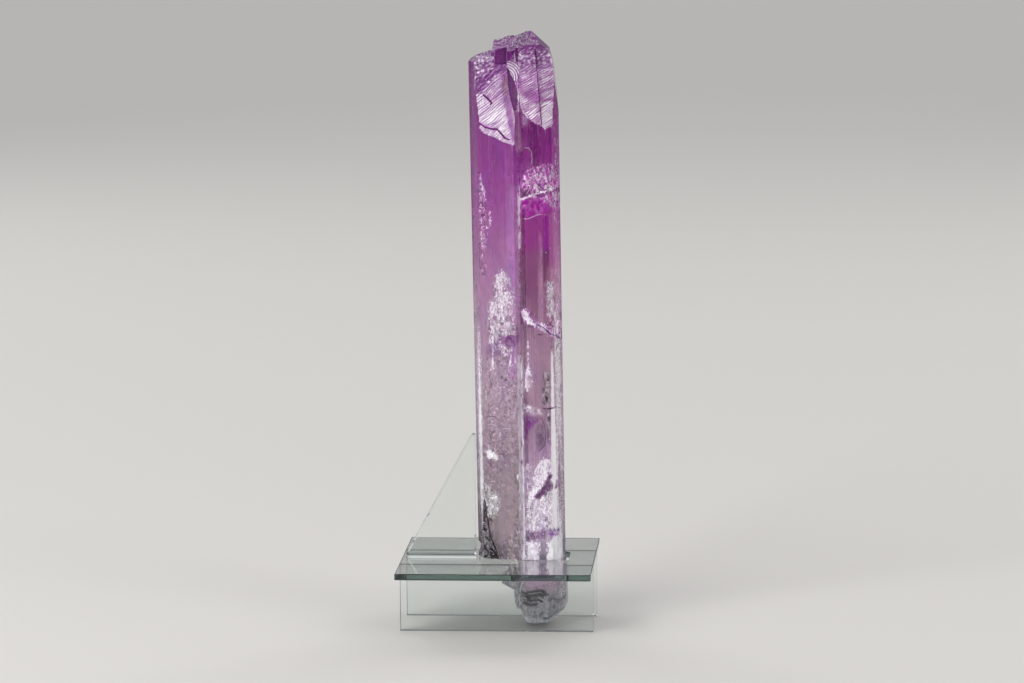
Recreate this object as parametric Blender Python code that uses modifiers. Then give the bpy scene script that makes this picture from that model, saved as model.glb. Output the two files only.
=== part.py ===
"""A tall kunzite crystal pair standing on a clear acrylic stand.

Units are metres and +Z is up. The origin is the middle of the stand, on the surface it rests on.
The crystal is modelled upright in its own frame, then leaned and set into the stand.
"""

import math
import random

import bmesh
import bpy
from mathutils import Matrix, Vector, noise

# The clear stand: a square plate on two cross walls, with an upright triangular brace
PLATE_SIDE = 0.092
PLATE_THICK = 0.003
PLATE_TOP = 0.0328
WALL_THICK = 0.003
WALL_OFFSET = 0.0180
BRACE_THICK = 0.003
BRACE_HEIGHT = 0.0590
BRACE_FOOT_X = -0.0447
BRACE_EDGE_X = -0.0108
BRACE_TIP_WIDTH = 0.0016
EDGE_BEVEL = 0.0003
BRACE_BEVEL = 0.0008
GAP = 0.0003

# The hole that the crystal's foot passes through
HOLE_X = (0.0070, 0.0338)
HOLE_Y = (-0.0122, 0.0114)
HOLE_CORNER = 0.0035

# The crystal's own frame: where its long axis meets the surface, and how it leans
AXIS_X = 0.01154
LEAN = math.radians(-0.665)
PRISM_BOTTOM = 0.024
PRISM_TOP = 0.292

# Corners of the pair's cross-section, anticlockwise from the left edge: x low down, x at the top, y
PRISM_CORNERS = (
    (-0.0207, -0.0211, -0.0010),
    (-0.0176, -0.0172, -0.0074),
    (-0.0138, -0.0134, -0.0098),
    (-0.0008, 0.0002, -0.0113),
    (0.0008, 0.0026, -0.0078),
    (0.0024, 0.0042, -0.0112),
    (0.0132, 0.0135, -0.0126),
    (0.0153, 0.0159, -0.0117),
    (0.0173, 0.0180, -0.0093),
    (0.0208, 0.0211, -0.0020),
    (0.0202, 0.0204, 0.0040),
    (0.0154, 0.0156, 0.0096),
    (0.0048, 0.0052, 0.0120),
    (0.0006, 0.0018, 0.0088),
    (-0.0034, -0.0028, 0.0114),
    (-0.0146, -0.0148, 0.0100),
    (-0.0198, -0.0202, 0.0048),
)
PRISM_LEVELS = 7
STRIA_WIDTH = 0.0021
STRIA_DEPTH = 0.00016

# Etched areas near the top, as outlines in the front view (x, z), open upwards
OPEN_TOP = 0.300
LEFT_ETCH = (
    (-0.0178, OPEN_TOP), (-0.0178, 0.2543), (-0.0175, 0.2470), (-0.0168, 0.2418), (-0.0160, 0.2388),
    (-0.0133, 0.2362), (-0.0083, 0.2343), (-0.0048, 0.2323), (-0.0021, 0.2315), (0.0008, 0.2303),
    (0.0013, 0.2352), (0.0003, 0.2470), (-0.0021, 0.2587), (-0.0022, OPEN_TOP),
)
RIGHT_ETCH = (
    (0.0024, OPEN_TOP), (0.0030, 0.2626), (0.0021, 0.2540), (0.0035, 0.2493), (0.0058, 0.2458),
    (0.0081, 0.2427), (0.0110, 0.2410), (0.0134, 0.2396), (0.0130, 0.2461), (0.0117, 0.2625),
    (0.0108, OPEN_TOP),
)
SIDE_ETCH = (
    (0.0112, OPEN_TOP), (0.0121, 0.2625), (0.0134, 0.2461), (0.0138, 0.2396), (0.0150, 0.2384),
    (0.0177, 0.2389), (0.0200, 0.2412), (0.0209, 0.2469), (0.0214, 0.2560), (0.0300, 0.2580),
    (0.0300, OPEN_TOP),
)
# Each etched floor is a plane: y at (x = 0, z = ETCH_LEVEL), its slope along x and its slope along z
ETCH_LEVEL = 0.240
LEFT_FLOOR = (-0.0104, -0.10, 0.055)
RIGHT_FLOOR = (-0.0104, -0.11, 0.050)
SIDE_FLOOR = (-0.0240, 0.84, 0.075)
RIDGE_SPACING = 0.0026
RIDGE_SLICES = 4
CROSS_SLICE = 0.006
RIDGE_DEPTH = 0.00032
LEFT_RIDGE_ANGLE = math.radians(45)
RIGHT_RIDGE_ANGLE = math.radians(33)

# The two tops, parted by a step: height at x = 0 and y = 0, slope along x and slope along y
STEP_X = -0.0098
LEFT_TOP = (0.2733, 0.15, 0.22)
RIGHT_TOP = (0.2780, 0.22, 0.27)
HOLLOW_DEPTH = 0.0005
HOLLOW_SIZE = 0.006
# Flats that trim the outline of the top in the front view: a point (x, z), and the tilt from level
TOP_TRIMS = {
    "shoulder_cut": ((0.0094, 0.2813), math.radians(42)),
    "upper_taper_cut": ((0.0187, 0.2680), math.radians(73)),
    "taper_cut": ((0.0207, 0.2490), math.radians(83.7)),
    "corner_cut": ((-0.0209, 0.2700), math.radians(-36)),
}

# The square notch beside the step, the open cleft between the two crystals, and the shell-like hollow over it
NOTCH_X = (-0.0080, -0.0028)
NOTCH_Z = 0.2686
NOTCH_Y = -0.0040
CLEFT = (
    (-0.0025, 0.2666), (-0.0021, 0.2587), (-0.0013, 0.2530), (0.0002, 0.2467), (0.0015, 0.2472),
    (0.0021, 0.2506), (0.0022, 0.2537), (0.0020, 0.2565), (0.0009, 0.2603), (-0.0009, 0.2641),
    (-0.0018, 0.2664),
)
CLEFT_Y = -0.0058
CRESCENT = (
    (-0.0028, 0.2676), (-0.0022, 0.2698), (-0.0006, 0.2708), (0.0009, 0.2704), (0.0022, 0.2688),
    (0.0032, 0.2662), (0.0030, 0.2634), (0.0022, 0.2606), (0.0006, 0.2604), (-0.0010, 0.2640),
    (-0.0019, 0.2662),
)
CRESCENT_Y = -0.0083

# The foot of the right crystal, from its lowest ring up: z, left x, right x, front y, back y
FOOT_RINGS = (
    (0.0010, 0.0021, 0.0106, -0.0052, 0.0052),
    (0.0021, 0.0004, 0.0140, -0.0078, 0.0072),
    (0.0040, -0.0004, 0.0163, -0.0092, 0.0085),
    (0.0062, -0.0008, 0.0181, -0.0099, 0.0091),
    (0.0078, -0.0010, 0.0200, -0.0102, 0.0094),
    (0.0087, -0.0034, 0.0208, -0.0103, 0.0095),
    (0.0112, -0.0040, 0.0216, -0.0104, 0.0096),
    (0.0160, -0.0043, 0.0218, -0.0105, 0.0097),
    (0.0200, -0.0043, 0.0218, -0.0105, 0.0098),
    (0.0250, -0.0036, 0.0218, -0.0106, 0.0098),
    (0.0305, -0.0031, 0.0214, -0.0108, 0.0098),
    (0.0360, -0.0020, 0.0200, -0.0104, 0.0090),
    (0.0440, 0.0010, 0.0180, -0.0086, 0.0070),
)
FOOT_SIDES = 40
FOOT_SQUARENESS = 3.6
FOOT_LUMP = 0.00070
FOOT_LUMP_SIZE = 0.0060
SPUR = ((-0.0097, 0.0212), (-0.0043, 0.0182), (0.0010, 0.0180), (0.0010, 0.0270), (-0.0060, 0.0256))
SPUR_Y = (-0.0068, 0.0020)

# Shell-shaped breaks: centre, radii
SCOOPS = {
    "low_left_break": ((-0.0254, -0.0030, 0.0378), (0.0068, 0.0110, 0.0042)),
    "low_left_shell": ((-0.0212, -0.0176, 0.0470), (0.0120, 0.0116, 0.0160)),
    "low_right_shell": ((0.0240, -0.0098, 0.0450), (0.0062, 0.0050, 0.0090)),
    "right_edge_chip": ((0.0236, -0.0030, 0.2006), (0.0030, 0.0060, 0.0022)),
    "left_back_chip": ((-0.0215, 0.0098, 0.1420), (0.0060, 0.0052, 0.0085)),
}
CRACK_DEPTH = 0.0007
CRACK_MOUTH = 0.0048
# Cracks that reach the front face, as routes in the front view (x, z)
CRACKS = {
    "cross_crack": ((0.0016, 0.1516), (0.0087, 0.1462), (0.0157, 0.1414), (0.0216, 0.1374)),
    "upper_crack": ((0.0017, 0.2020), (0.0079, 0.2053), (0.0136, 0.2067), (0.0216, 0.2096)),
}

# How far tool shapes reach past what they cut
HALF_REACH = 0.060
CUTTER_REACH = 0.040

ACRYLIC_COLOUR = (0.86, 0.90, 0.90)
KUNZITE_COLOUR = (0.42, 0.16, 0.40)


def clear_scene():
    """Start from an empty scene."""
    for item in list(bpy.data.objects):
        bpy.data.objects.remove(item, do_unlink=True)


def new_collection(name):
    """Make a collection and link it to the scene."""
    collection = bpy.data.collections.new(name)
    bpy.context.scene.collection.children.link(collection)
    return collection


def clear_material(name, colour, roughness, ior, transmission):
    """Make a see-through material."""
    material = bpy.data.materials.new(name)
    material.use_nodes = True
    shader = material.node_tree.nodes["Principled BSDF"]
    shader.inputs["Base Color"].default_value = (*colour, 1.0)
    shader.inputs["Roughness"].default_value = roughness
    shader.inputs["Metallic"].default_value = 0.0
    shader.inputs["IOR"].default_value = ior
    shader.inputs["Transmission Weight"].default_value = transmission
    material.diffuse_color = (*colour, 1.0)
    return material


def object_from_bmesh(bm, name, collection):
    """Turn a finished bmesh into a linked object with its faces pointing out."""
    bmesh.ops.remove_doubles(bm, verts=bm.verts, dist=1e-7)
    bmesh.ops.recalc_face_normals(bm, faces=bm.faces)
    mesh = bpy.data.meshes.new(name)
    bm.to_mesh(mesh)
    bm.free()
    item = bpy.data.objects.new(name, mesh)
    collection.objects.link(item)
    return item


def as_cutter(item):
    """Mark an object as a tool shape that is never part of the model."""
    item.hide_render = True
    item.display_type = "WIRE"
    return item


def combine(item, tool, operation):
    """Cut or join one object with another, exactly."""
    step = item.modifiers.new(tool.name, "BOOLEAN")
    step.solver = "EXACT"
    step.operation = operation
    step.object = tool


def loft(rings, name, collection):
    """Skin a stack of closed rings that all have the same number of points, and cap both ends."""
    bm = bmesh.new()
    loops = [[bm.verts.new(point) for point in ring] for ring in rings]
    for lower, upper in zip(loops, loops[1:]):
        for index in range(len(lower)):
            following = (index + 1) % len(lower)
            bm.faces.new((lower[index], lower[following], upper[following], upper[index]))
    bm.faces.new(list(reversed(loops[0])))
    bm.faces.new(loops[-1])
    return object_from_bmesh(bm, name, collection)


def outline_corners(height_share):
    """The corners of the cross-section at a height, from 0 low down to 1 at the top."""
    return [Vector((low + (high - low) * height_share, y)) for low, high, y in PRISM_CORNERS]


def face_striae(seed):
    """For each side of the cross-section, where its striae stand along it and how deep they are."""
    corners = outline_corners(0.5)
    steps = random.Random(seed)
    striae = []
    for start, end in zip(corners, corners[1:] + corners[:1]):
        count = max(1, round((end - start).length / STRIA_WIDTH))
        shares = [(step + steps.uniform(-0.25, 0.25)) / count for step in range(1, count)]
        striae.append([(share, STRIA_DEPTH * steps.uniform(-0.2, 1.0)) for share in shares])
    return striae


def crystal_prism(collection):
    """The two parallel crystals as one prism, with a re-entrant groove between them front and back."""
    striae = face_striae(seed=11)
    rings = []
    for level in range(PRISM_LEVELS):
        height_share = level / (PRISM_LEVELS - 1)
        z = PRISM_BOTTOM + (PRISM_TOP - PRISM_BOTTOM) * height_share
        corners = outline_corners(height_share)
        ring = []
        for start, end, steps in zip(corners, corners[1:] + corners[:1], striae):
            side = end - start
            inward = Vector((-side.y, side.x)).normalized()
            points = [start] + [start + side * share + inward * depth for share, depth in steps]
            ring += [(point.x, point.y, z) for point in points]
        rings.append(ring)
    return loft(rings, "kunzite_crystal", collection)


def ridge(u, v, angle, spacing):
    """Saw-tooth ridges that run at an angle to the u axis, from 0 in a groove to 1 on a crest."""
    across = v * math.cos(angle) - u * math.sin(angle)
    wander = noise.noise(Vector((u, v, 0.0)) / (spacing * 4.0)) * 0.55
    phase = (across / spacing + wander) % 1.0
    return 1.0 - phase / 0.7 if phase < 0.7 else (phase - 0.7) / 0.3


def sliced_patch(outline, floor, far, slices):
    """A closed block over an outline: a sculpted floor, straight sides and a flat far end at w = far.

    Slices are (angle, spacing) pairs: the floor is divided along lines at each angle.
    """
    bm = bmesh.new()
    patch = bm.faces.new([bm.verts.new((u, v, 0.0)) for u, v in outline])
    centre = patch.calc_center_median()
    reach = max((vert.co - centre).length for vert in bm.verts)
    for angle, spacing in slices:
        across = Vector((-math.sin(angle), math.cos(angle), 0.0))
        for step in range(-int(reach / spacing), int(reach / spacing) + 1):
            geometry = bm.verts[:] + bm.edges[:] + bm.faces[:]
            place = centre + across * spacing * step
            bmesh.ops.bisect_plane(bm, geom=geometry, dist=1e-7, plane_co=place, plane_no=across)
    rim = [edge for edge in bm.edges if edge.is_boundary]
    sides = bmesh.ops.extrude_edge_only(bm, edges=rim)["geom"]
    raised = [item for item in sides if isinstance(item, bmesh.types.BMVert)]
    lifted = set(raised)
    for vert in bm.verts:
        vert.co.z = far if vert in lifted else floor(vert.co.x, vert.co.y)
    far_edges = [item for item in sides if isinstance(item, bmesh.types.BMEdge) and item.is_boundary]
    bmesh.ops.contextual_create(bm, geom=far_edges)
    return bm


def front_cutter(name, outline, floor, slices, collection):
    """A tool that eats into the front face down to a floor, given as y at each (x, z)."""
    bm = sliced_patch(outline, lambda x, z: -floor(x, z), CUTTER_REACH, slices)
    # In the patch, u is x, v is z and w points to the front, along -Y
    to_front = Matrix(((1, 0, 0, 0), (0, 0, -1, 0), (0, 1, 0, 0), (0, 0, 0, 1)))
    bmesh.ops.transform(bm, matrix=to_front, verts=bm.verts)
    return as_cutter(object_from_bmesh(bm, name, collection))


def etch_cutter(name, outline, floor_plane, ridge_angle, collection):
    """A front cutter whose floor slopes back and carries slanting etch ridges."""
    level_y, slope_x, slope_z = floor_plane
    slices = (
        (ridge_angle, RIDGE_SPACING / RIDGE_SLICES),
        (ridge_angle + math.radians(90), CROSS_SLICE),
    )

    def floor(x, z):
        plane_y = level_y + slope_x * x + slope_z * (z - ETCH_LEVEL)
        return plane_y + RIDGE_DEPTH * ridge(x, z, ridge_angle, RIDGE_SPACING)

    return front_cutter(name, outline, floor, slices, collection)


def top_cutter(name, x_range, top_plane, collection):
    """A tool that trims the top to a sloping face with shallow growth hollows."""
    height, slope_x, slope_y = top_plane
    low, high = x_range
    outline = ((low, -HALF_REACH), (high, -HALF_REACH), (high, HALF_REACH), (low, HALF_REACH))

    def floor(x, y):
        hollow = noise.noise(Vector((x, y, 0.0)) / HOLLOW_SIZE)
        return height + slope_x * x + slope_y * y + HOLLOW_DEPTH * hollow

    slices = ((0.0, HOLLOW_SIZE / 2), (math.radians(90), HOLLOW_SIZE / 2))
    bm = sliced_patch(outline, floor, OPEN_TOP + CUTTER_REACH, slices)
    return as_cutter(object_from_bmesh(bm, name, collection))


def box(name, low, high, collection):
    """A box between two corners."""
    bm = bmesh.new()
    bmesh.ops.create_cube(bm, size=1.0)
    size = Vector(high) - Vector(low)
    bmesh.ops.scale(bm, vec=size, verts=bm.verts)
    bmesh.ops.translate(bm, vec=(Vector(high) + Vector(low)) / 2, verts=bm.verts)
    return object_from_bmesh(bm, name, collection)


def plane_cutter(name, point, angle, collection):
    """A tool that removes everything above a plane through a front-view point, tilted about Y."""
    x, z = point
    low = (-HALF_REACH, -HALF_REACH, 0.0)
    high = (HALF_REACH, HALF_REACH, CUTTER_REACH)
    tool = as_cutter(box(name, low, high, collection))
    tool.data.transform(Matrix.Translation((x, 0.0, z)) @ Matrix.Rotation(angle, 4, "Y"))
    return tool


def ellipsoid(name, centre, radii, collection):
    """A low ellipsoid, whose cut leaves a shell-shaped break."""
    bm = bmesh.new()
    bmesh.ops.create_icosphere(bm, subdivisions=3, radius=1.0)
    bmesh.ops.scale(bm, vec=radii, verts=bm.verts)
    bmesh.ops.translate(bm, vec=centre, verts=bm.verts)
    return as_cutter(object_from_bmesh(bm, name, collection))


def face_y(x):
    """Where the front of the right crystal stands at a given x, for cracks that follow it round."""
    corners = [corner for corner in outline_corners(0.5)[5:10]]
    for start, end in zip(corners, corners[1:]):
        if x <= end.x:
            return start.y + (end.y - start.y) * (x - start.x) / (end.x - start.x)
    return corners[-1].y


def crack_cutter(name, route, collection):
    """A wedge along a route in the front view, which leaves a shallow slit on the face."""
    rings = []
    for x, z in route:
        tip = face_y(x) + CRACK_DEPTH
        front = tip - CUTTER_REACH
        rings.append([(x, front, z - CRACK_MOUTH), (x, tip, z), (x, front, z + CRACK_MOUTH)])
    return as_cutter(loft(rings, name, collection))


def foot_ring(z, left, right, front, back):
    """One ring of the foot: a squarish oval, pushed in and out in lumps."""
    ring = []
    for index in range(FOOT_SIDES):
        angle = math.tau * index / FOOT_SIDES
        c = math.cos(angle)
        s = math.sin(angle)
        reach = (abs(c) ** FOOT_SQUARENESS + abs(s) ** FOOT_SQUARENESS) ** (-1 / FOOT_SQUARENESS)
        x = (left + right) / 2 + (right - left) / 2 * c * reach
        y = (front + back) / 2 + (back - front) / 2 * s * reach
        lump = noise.noise(Vector((x, y, z)) / FOOT_LUMP_SIZE) * FOOT_LUMP
        ring.append((x + c * (lump - FOOT_LUMP / 2), y + s * (lump - FOOT_LUMP / 2), z))
    return ring


def crystal_foot(collection):
    """The broken lower end of the right crystal, which goes down through the plate."""
    return as_cutter(loft([foot_ring(*row) for row in FOOT_RINGS], "crystal_foot", collection))


def foot_spur(collection):
    """A thin broken ledge on the foot, just under the plate."""
    near, far = SPUR_Y
    rings = [[(x, y, z) for x, z in SPUR] for y in (near, (near + far) / 2, far)]
    return as_cutter(loft(rings, "foot_spur", collection))


def shaping_cuts(tools):
    """Every tool that shapes the pair's top and front, in the crystal's own frame."""
    left_x = (-HALF_REACH, STEP_X)
    right_x = (STEP_X - GAP, HALF_REACH)
    notch_low = (NOTCH_X[0], -HALF_REACH, NOTCH_Z)
    notch_high = (NOTCH_X[1], NOTCH_Y, OPEN_TOP)
    cuts = [
        top_cutter("left_top_cut", left_x, LEFT_TOP, tools),
        top_cutter("right_top_cut", right_x, RIGHT_TOP, tools),
        etch_cutter("left_etch", LEFT_ETCH, LEFT_FLOOR, LEFT_RIDGE_ANGLE, tools),
        etch_cutter("right_etch", RIGHT_ETCH, RIGHT_FLOOR, RIGHT_RIDGE_ANGLE, tools),
        etch_cutter("side_etch", SIDE_ETCH, SIDE_FLOOR, RIGHT_RIDGE_ANGLE, tools),
        as_cutter(box("notch", notch_low, notch_high, tools)),
        front_cutter("crescent", CRESCENT, lambda x, z: CRESCENT_Y, (), tools),
        front_cutter("cleft", CLEFT, lambda x, z: CLEFT_Y, (), tools),
    ]
    cuts += [plane_cutter(name, point, angle, tools) for name, (point, angle) in TOP_TRIMS.items()]
    cuts += [ellipsoid(name, centre, radii, tools) for name, (centre, radii) in SCOOPS.items()]
    cuts += [crack_cutter(name, route, tools) for name, route in CRACKS.items()]
    return cuts


def kunzite_crystal(collection, tools):
    """The whole crystal as one solid."""
    crystal = crystal_prism(collection)
    cuts = shaping_cuts(tools)
    additions = [crystal_foot(tools), foot_spur(tools)]
    seat_low = (-HALF_REACH, -HALF_REACH, -CUTTER_REACH)
    seat_high = (HALF_REACH, HALF_REACH, PLATE_TOP + GAP)
    seat = as_cutter(box("seat_cut", seat_low, seat_high, tools))

    # The crystal leans as one thing, but it is seated on a level plate
    lean = Matrix.Translation((AXIS_X, 0.0, 0.0)) @ Matrix.Rotation(LEAN, 4, "Y")
    for item in [crystal] + cuts + additions:
        item.data.transform(lean)
    for tool in cuts + [seat]:
        combine(crystal, tool, "DIFFERENCE")
    for tool in additions:
        combine(crystal, tool, "UNION")
    crystal.data.materials.append(clear_material("kunzite", KUNZITE_COLOUR, 0.05, 1.66, 0.9))
    return crystal


def rounded_rectangle(x_range, y_range, corner, sides):
    """Corner points of a rectangle with round corners, anticlockwise."""
    points = []
    quarters = (
        (x_range[1] - corner, y_range[1] - corner, 0),
        (x_range[0] + corner, y_range[1] - corner, 90),
        (x_range[0] + corner, y_range[0] + corner, 180),
        (x_range[1] - corner, y_range[0] + corner, 270),
    )
    for x, y, start in quarters:
        for step in range(sides + 1):
            angle = math.radians(start + 90 * step / sides)
            points.append((x + corner * math.cos(angle), y + corner * math.sin(angle)))
    return points


def panel(name, low, high, material, collection):
    """A clear acrylic panel with slightly broken edges."""
    item = box(name, low, high, collection)
    bevel = item.modifiers.new("broken_edges", "BEVEL")
    bevel.width = EDGE_BEVEL
    bevel.segments = 1
    item.data.materials.append(material)
    return item


def base_plate(material, collection, tools):
    """The square plate, with the hole for the crystal's foot."""
    half = PLATE_SIDE / 2
    plate = panel("base_plate", (-half, -half, PLATE_TOP - PLATE_THICK), (half, half, PLATE_TOP),
                  material, collection)
    outline = rounded_rectangle(HOLE_X, HOLE_Y, HOLE_CORNER, 6)
    ends = (PLATE_TOP - CUTTER_REACH, PLATE_TOP + CUTTER_REACH)
    rings = [[(x, y, z) for x, y in outline] for z in ends]
    combine(plate, as_cutter(loft(rings, "hole", tools)), "DIFFERENCE")
    return plate


def cross_walls(material, collection):
    """The two walls that carry the plate, one in front of the foot and one behind it."""
    half = PLATE_SIDE / 2
    top = PLATE_TOP - PLATE_THICK - GAP
    for name, middle in (("front_wall", -WALL_OFFSET), ("rear_wall", WALL_OFFSET)):
        near = middle - WALL_THICK / 2
        panel(name, (-half, near, 0.0), (half, near + WALL_THICK, top), material, collection)


def brace(material, collection):
    """The upright triangular brace that the crystal leans on."""
    bottom = PLATE_TOP + GAP
    corners = (
        (BRACE_FOOT_X, bottom),
        (BRACE_EDGE_X, bottom),
        (BRACE_EDGE_X, bottom + BRACE_HEIGHT),
        (BRACE_EDGE_X - BRACE_TIP_WIDTH, bottom + BRACE_HEIGHT),
    )
    rings = [[(x, y, z) for x, z in corners] for y in (-BRACE_THICK / 2, BRACE_THICK / 2)]
    item = loft(rings, "brace", collection)
    bevel = item.modifiers.new("broken_edges", "BEVEL")
    bevel.width = BRACE_BEVEL
    bevel.segments = 1
    item.data.materials.append(material)
    return item


def main():
    """Build the crystal and its stand."""
    clear_scene()
    parts = new_collection("kunzite_on_stand")
    tools = new_collection("tool_shapes")
    acrylic = clear_material("clear_acrylic", ACRYLIC_COLOUR, 0.02, 1.49, 0.95)
    kunzite_crystal(parts, tools)
    base_plate(acrylic, parts, tools)
    cross_walls(acrylic, parts)
    brace(acrylic, parts)


main()
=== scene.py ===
# %% [markdown]
# # A kunzite crystal on a clear acrylic stand
#
# The solids of the crystal and its stand come first, as a fixed frame. This lesson gives them their looks: the
# crystal's etched faces, cracks and inclusions are cut into its mesh, and each material is built from nodes.
# Every length is in metres, and +Z is up.

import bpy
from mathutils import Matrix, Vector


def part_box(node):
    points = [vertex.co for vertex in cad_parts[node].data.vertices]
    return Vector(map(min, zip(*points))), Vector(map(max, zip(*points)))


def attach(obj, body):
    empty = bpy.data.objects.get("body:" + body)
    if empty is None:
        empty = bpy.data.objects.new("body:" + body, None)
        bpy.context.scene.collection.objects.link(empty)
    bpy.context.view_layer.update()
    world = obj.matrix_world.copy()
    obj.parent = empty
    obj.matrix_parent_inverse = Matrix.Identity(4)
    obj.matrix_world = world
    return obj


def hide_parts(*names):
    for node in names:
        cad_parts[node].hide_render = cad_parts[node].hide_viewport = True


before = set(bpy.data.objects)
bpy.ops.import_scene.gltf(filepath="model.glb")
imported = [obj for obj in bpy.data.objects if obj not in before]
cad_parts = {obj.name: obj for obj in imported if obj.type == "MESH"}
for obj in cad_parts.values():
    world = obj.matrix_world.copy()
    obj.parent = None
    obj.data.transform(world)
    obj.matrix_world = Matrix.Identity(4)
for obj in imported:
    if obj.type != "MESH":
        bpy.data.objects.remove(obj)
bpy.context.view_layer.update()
print("nodes:", sorted(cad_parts))

# %% Modules
import math
import random

import bmesh
import bpy
import numpy as np
from mathutils import Matrix, Vector, noise
from mathutils.bvhtree import BVHTree

MM = 0.001
scene = bpy.context.scene

# %% [markdown]
# ## The camera
#
# The photograph looks at the specimen from a little right of its front and a little above, through a long lens.
# A camera on a sphere round the crystal is the simplest way to say that: a target, two angles and a distance.
# The picture leans by less than half a degree, which is kept as a roll.

# %% The camera
IMAGE_WIDTH = 1024
IMAGE_HEIGHT = 683
SENSOR_WIDTH_MM = 36.0
FOCAL_LENGTH_MM = 155.08
CAMERA_TARGET = Vector((0.00693, 0.0, 0.13611))
CAMERA_DISTANCE = 2.0898
CAMERA_AZIMUTH = math.radians(3.821)
CAMERA_ELEVATION = math.radians(8.418)
CAMERA_ROLL = math.radians(-0.394)


def on_sphere(azimuth, elevation):
    """A unit vector from the target: azimuth 0 is in front, at -Y, and it grows towards +X."""
    level = math.cos(elevation)
    return Vector((math.sin(azimuth) * level, -math.cos(azimuth) * level, math.sin(elevation)))


def add_camera():
    """The photograph's camera."""
    away = on_sphere(CAMERA_AZIMUTH, CAMERA_ELEVATION)
    camera = bpy.data.objects.new("camera", bpy.data.cameras.new("camera"))
    camera.data.sensor_width = SENSOR_WIDTH_MM
    camera.data.lens = FOCAL_LENGTH_MM
    camera.location = CAMERA_TARGET + away * CAMERA_DISTANCE
    facing = (-away).to_track_quat("-Z", "Y").to_matrix() @ Matrix.Rotation(CAMERA_ROLL, 3, "Z")
    camera.rotation_euler = facing.to_euler()
    scene.collection.objects.link(camera)
    scene.camera = camera
    return camera


def pixel_of(point, camera):
    """Where a point falls in the 1024 by 683 picture."""
    bpy.context.view_layer.update()
    seen = camera.matrix_world.inverted() @ Vector(point)
    pixels = camera.data.lens / SENSOR_WIDTH_MM * IMAGE_WIDTH / -seen.z
    return (round(IMAGE_WIDTH / 2 + seen.x * pixels, 1), round(IMAGE_HEIGHT / 2 - seen.y * pixels, 1))


camera = add_camera()
plate_low, plate_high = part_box("base_plate")
print("plate's front corners in the picture:",
      pixel_of((plate_low.x, plate_low.y, plate_high.z), camera),
      pixel_of((plate_high.x, plate_low.y, plate_high.z), camera))

# %% [markdown]
# ## Soft studio light
#
# A clear stone has no look of its own: it shows bright and dark parts of the room, bent and mirrored. A large soft
# box at the front left lights the etched and frosted parts, two behind light the stone through, and one over the far
# floor keeps the ground pale behind it. The room is dim at eye level, so upright facets that mirror it turn dark, and
# it brightens towards its ceiling, so that cracks inside the stone have something bright to mirror.
# Area lights are used because a soft box is just that: a glowing sheet of cloth.

# %% Floor, room and soft boxes
FLOOR_SIZE = 30.0
FLOOR_COLOUR = "#C4C1BC"
ROOM_COLOUR = "#E2E4E8"
ROOM_LOW = 0.23
ROOM_HIGH = 0.72
# Each soft box: azimuth and elevation in degrees, distance, width, height, watts
SOFT_BOXES = {
    "key_box": (-38, 30, 2.2, 1.3, 1.5, 42.0),
    "right_box": (58, 24, 2.0, 0.7, 1.6, 11.0),
    "back_left_box": (-142, 32, 2.0, 0.8, 1.5, 8.0),
    "back_right_box": (140, 34, 2.0, 0.8, 1.5, 8.0),
}
# The box over the far floor: place, width, depth, watts
FAR_BOX_PLACE = (0.0, 5.0, 3.2)
FAR_BOX_WIDTH = 7.0
FAR_BOX_DEPTH = 6.0
FAR_BOX_WATTS = 100.0


def linear(hex_colour, alpha=1.0):
    """An sRGB hex colour as the linear numbers that shaders work in."""
    channels = [int(hex_colour[start:start + 2], 16) / 255 for start in (1, 3, 5)]
    lit = [c / 12.92 if c <= 0.04045 else ((c + 0.055) / 1.055) ** 2.4 for c in channels]
    return (*lit, alpha)


def add(tree, kind, inputs=None, **settings):
    """Add a shader node: settings are its properties, and inputs are values or links for its sockets."""
    node = tree.nodes.new("ShaderNode" + kind)
    for name, value in settings.items():
        setattr(node, name, value)
    for socket, value in (inputs or {}).items():
        if isinstance(value, bpy.types.NodeSocket):
            tree.links.new(value, node.inputs[socket])
        else:
            node.inputs[socket].default_value = value
    return node


def new_material(name):
    """An empty material, its node tree and its Principled shader."""
    material = bpy.data.materials.new(name)
    material.use_nodes = True
    return material, material.node_tree, material.node_tree.nodes["Principled BSDF"]


def add_floor():
    """A pale matt floor."""
    bpy.ops.mesh.primitive_plane_add(size=FLOOR_SIZE)
    floor = bpy.context.object
    floor.name = "floor"
    paint, tree, shader = new_material("matt_pale_paint")
    shader.inputs["Base Color"].default_value = linear(FLOOR_COLOUR)
    shader.inputs["Roughness"].default_value = 0.55
    floor.data.materials.append(paint)


def add_world():
    """A plain room, dim at eye level and bright at its ceiling."""
    world = bpy.data.worlds.new("room")
    world.use_nodes = True
    tree = world.node_tree
    height = add(tree, "SeparateXYZ", {0: add(tree, "TexCoord").outputs["Generated"]}).outputs["Z"]
    strength = add(tree, "MapRange", {"Value": height, "To Min": ROOM_LOW, "To Max": ROOM_HIGH},
                   interpolation_type="SMOOTHSTEP").outputs["Result"]
    background = tree.nodes["Background"]
    background.inputs["Color"].default_value = linear(ROOM_COLOUR)
    tree.links.new(strength, background.inputs["Strength"])
    scene.world = world


def add_box(name, place, facing, width, height, watts):
    """A soft box at a place, facing along a direction."""
    lamp = bpy.data.lights.new(name, "AREA")
    lamp.shape = "RECTANGLE"
    lamp.size = width
    lamp.size_y = height
    lamp.energy = watts
    box = bpy.data.objects.new(name, lamp)
    box.location = place
    box.rotation_euler = facing.to_track_quat("-Z", "Y").to_euler()
    scene.collection.objects.link(box)


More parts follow.
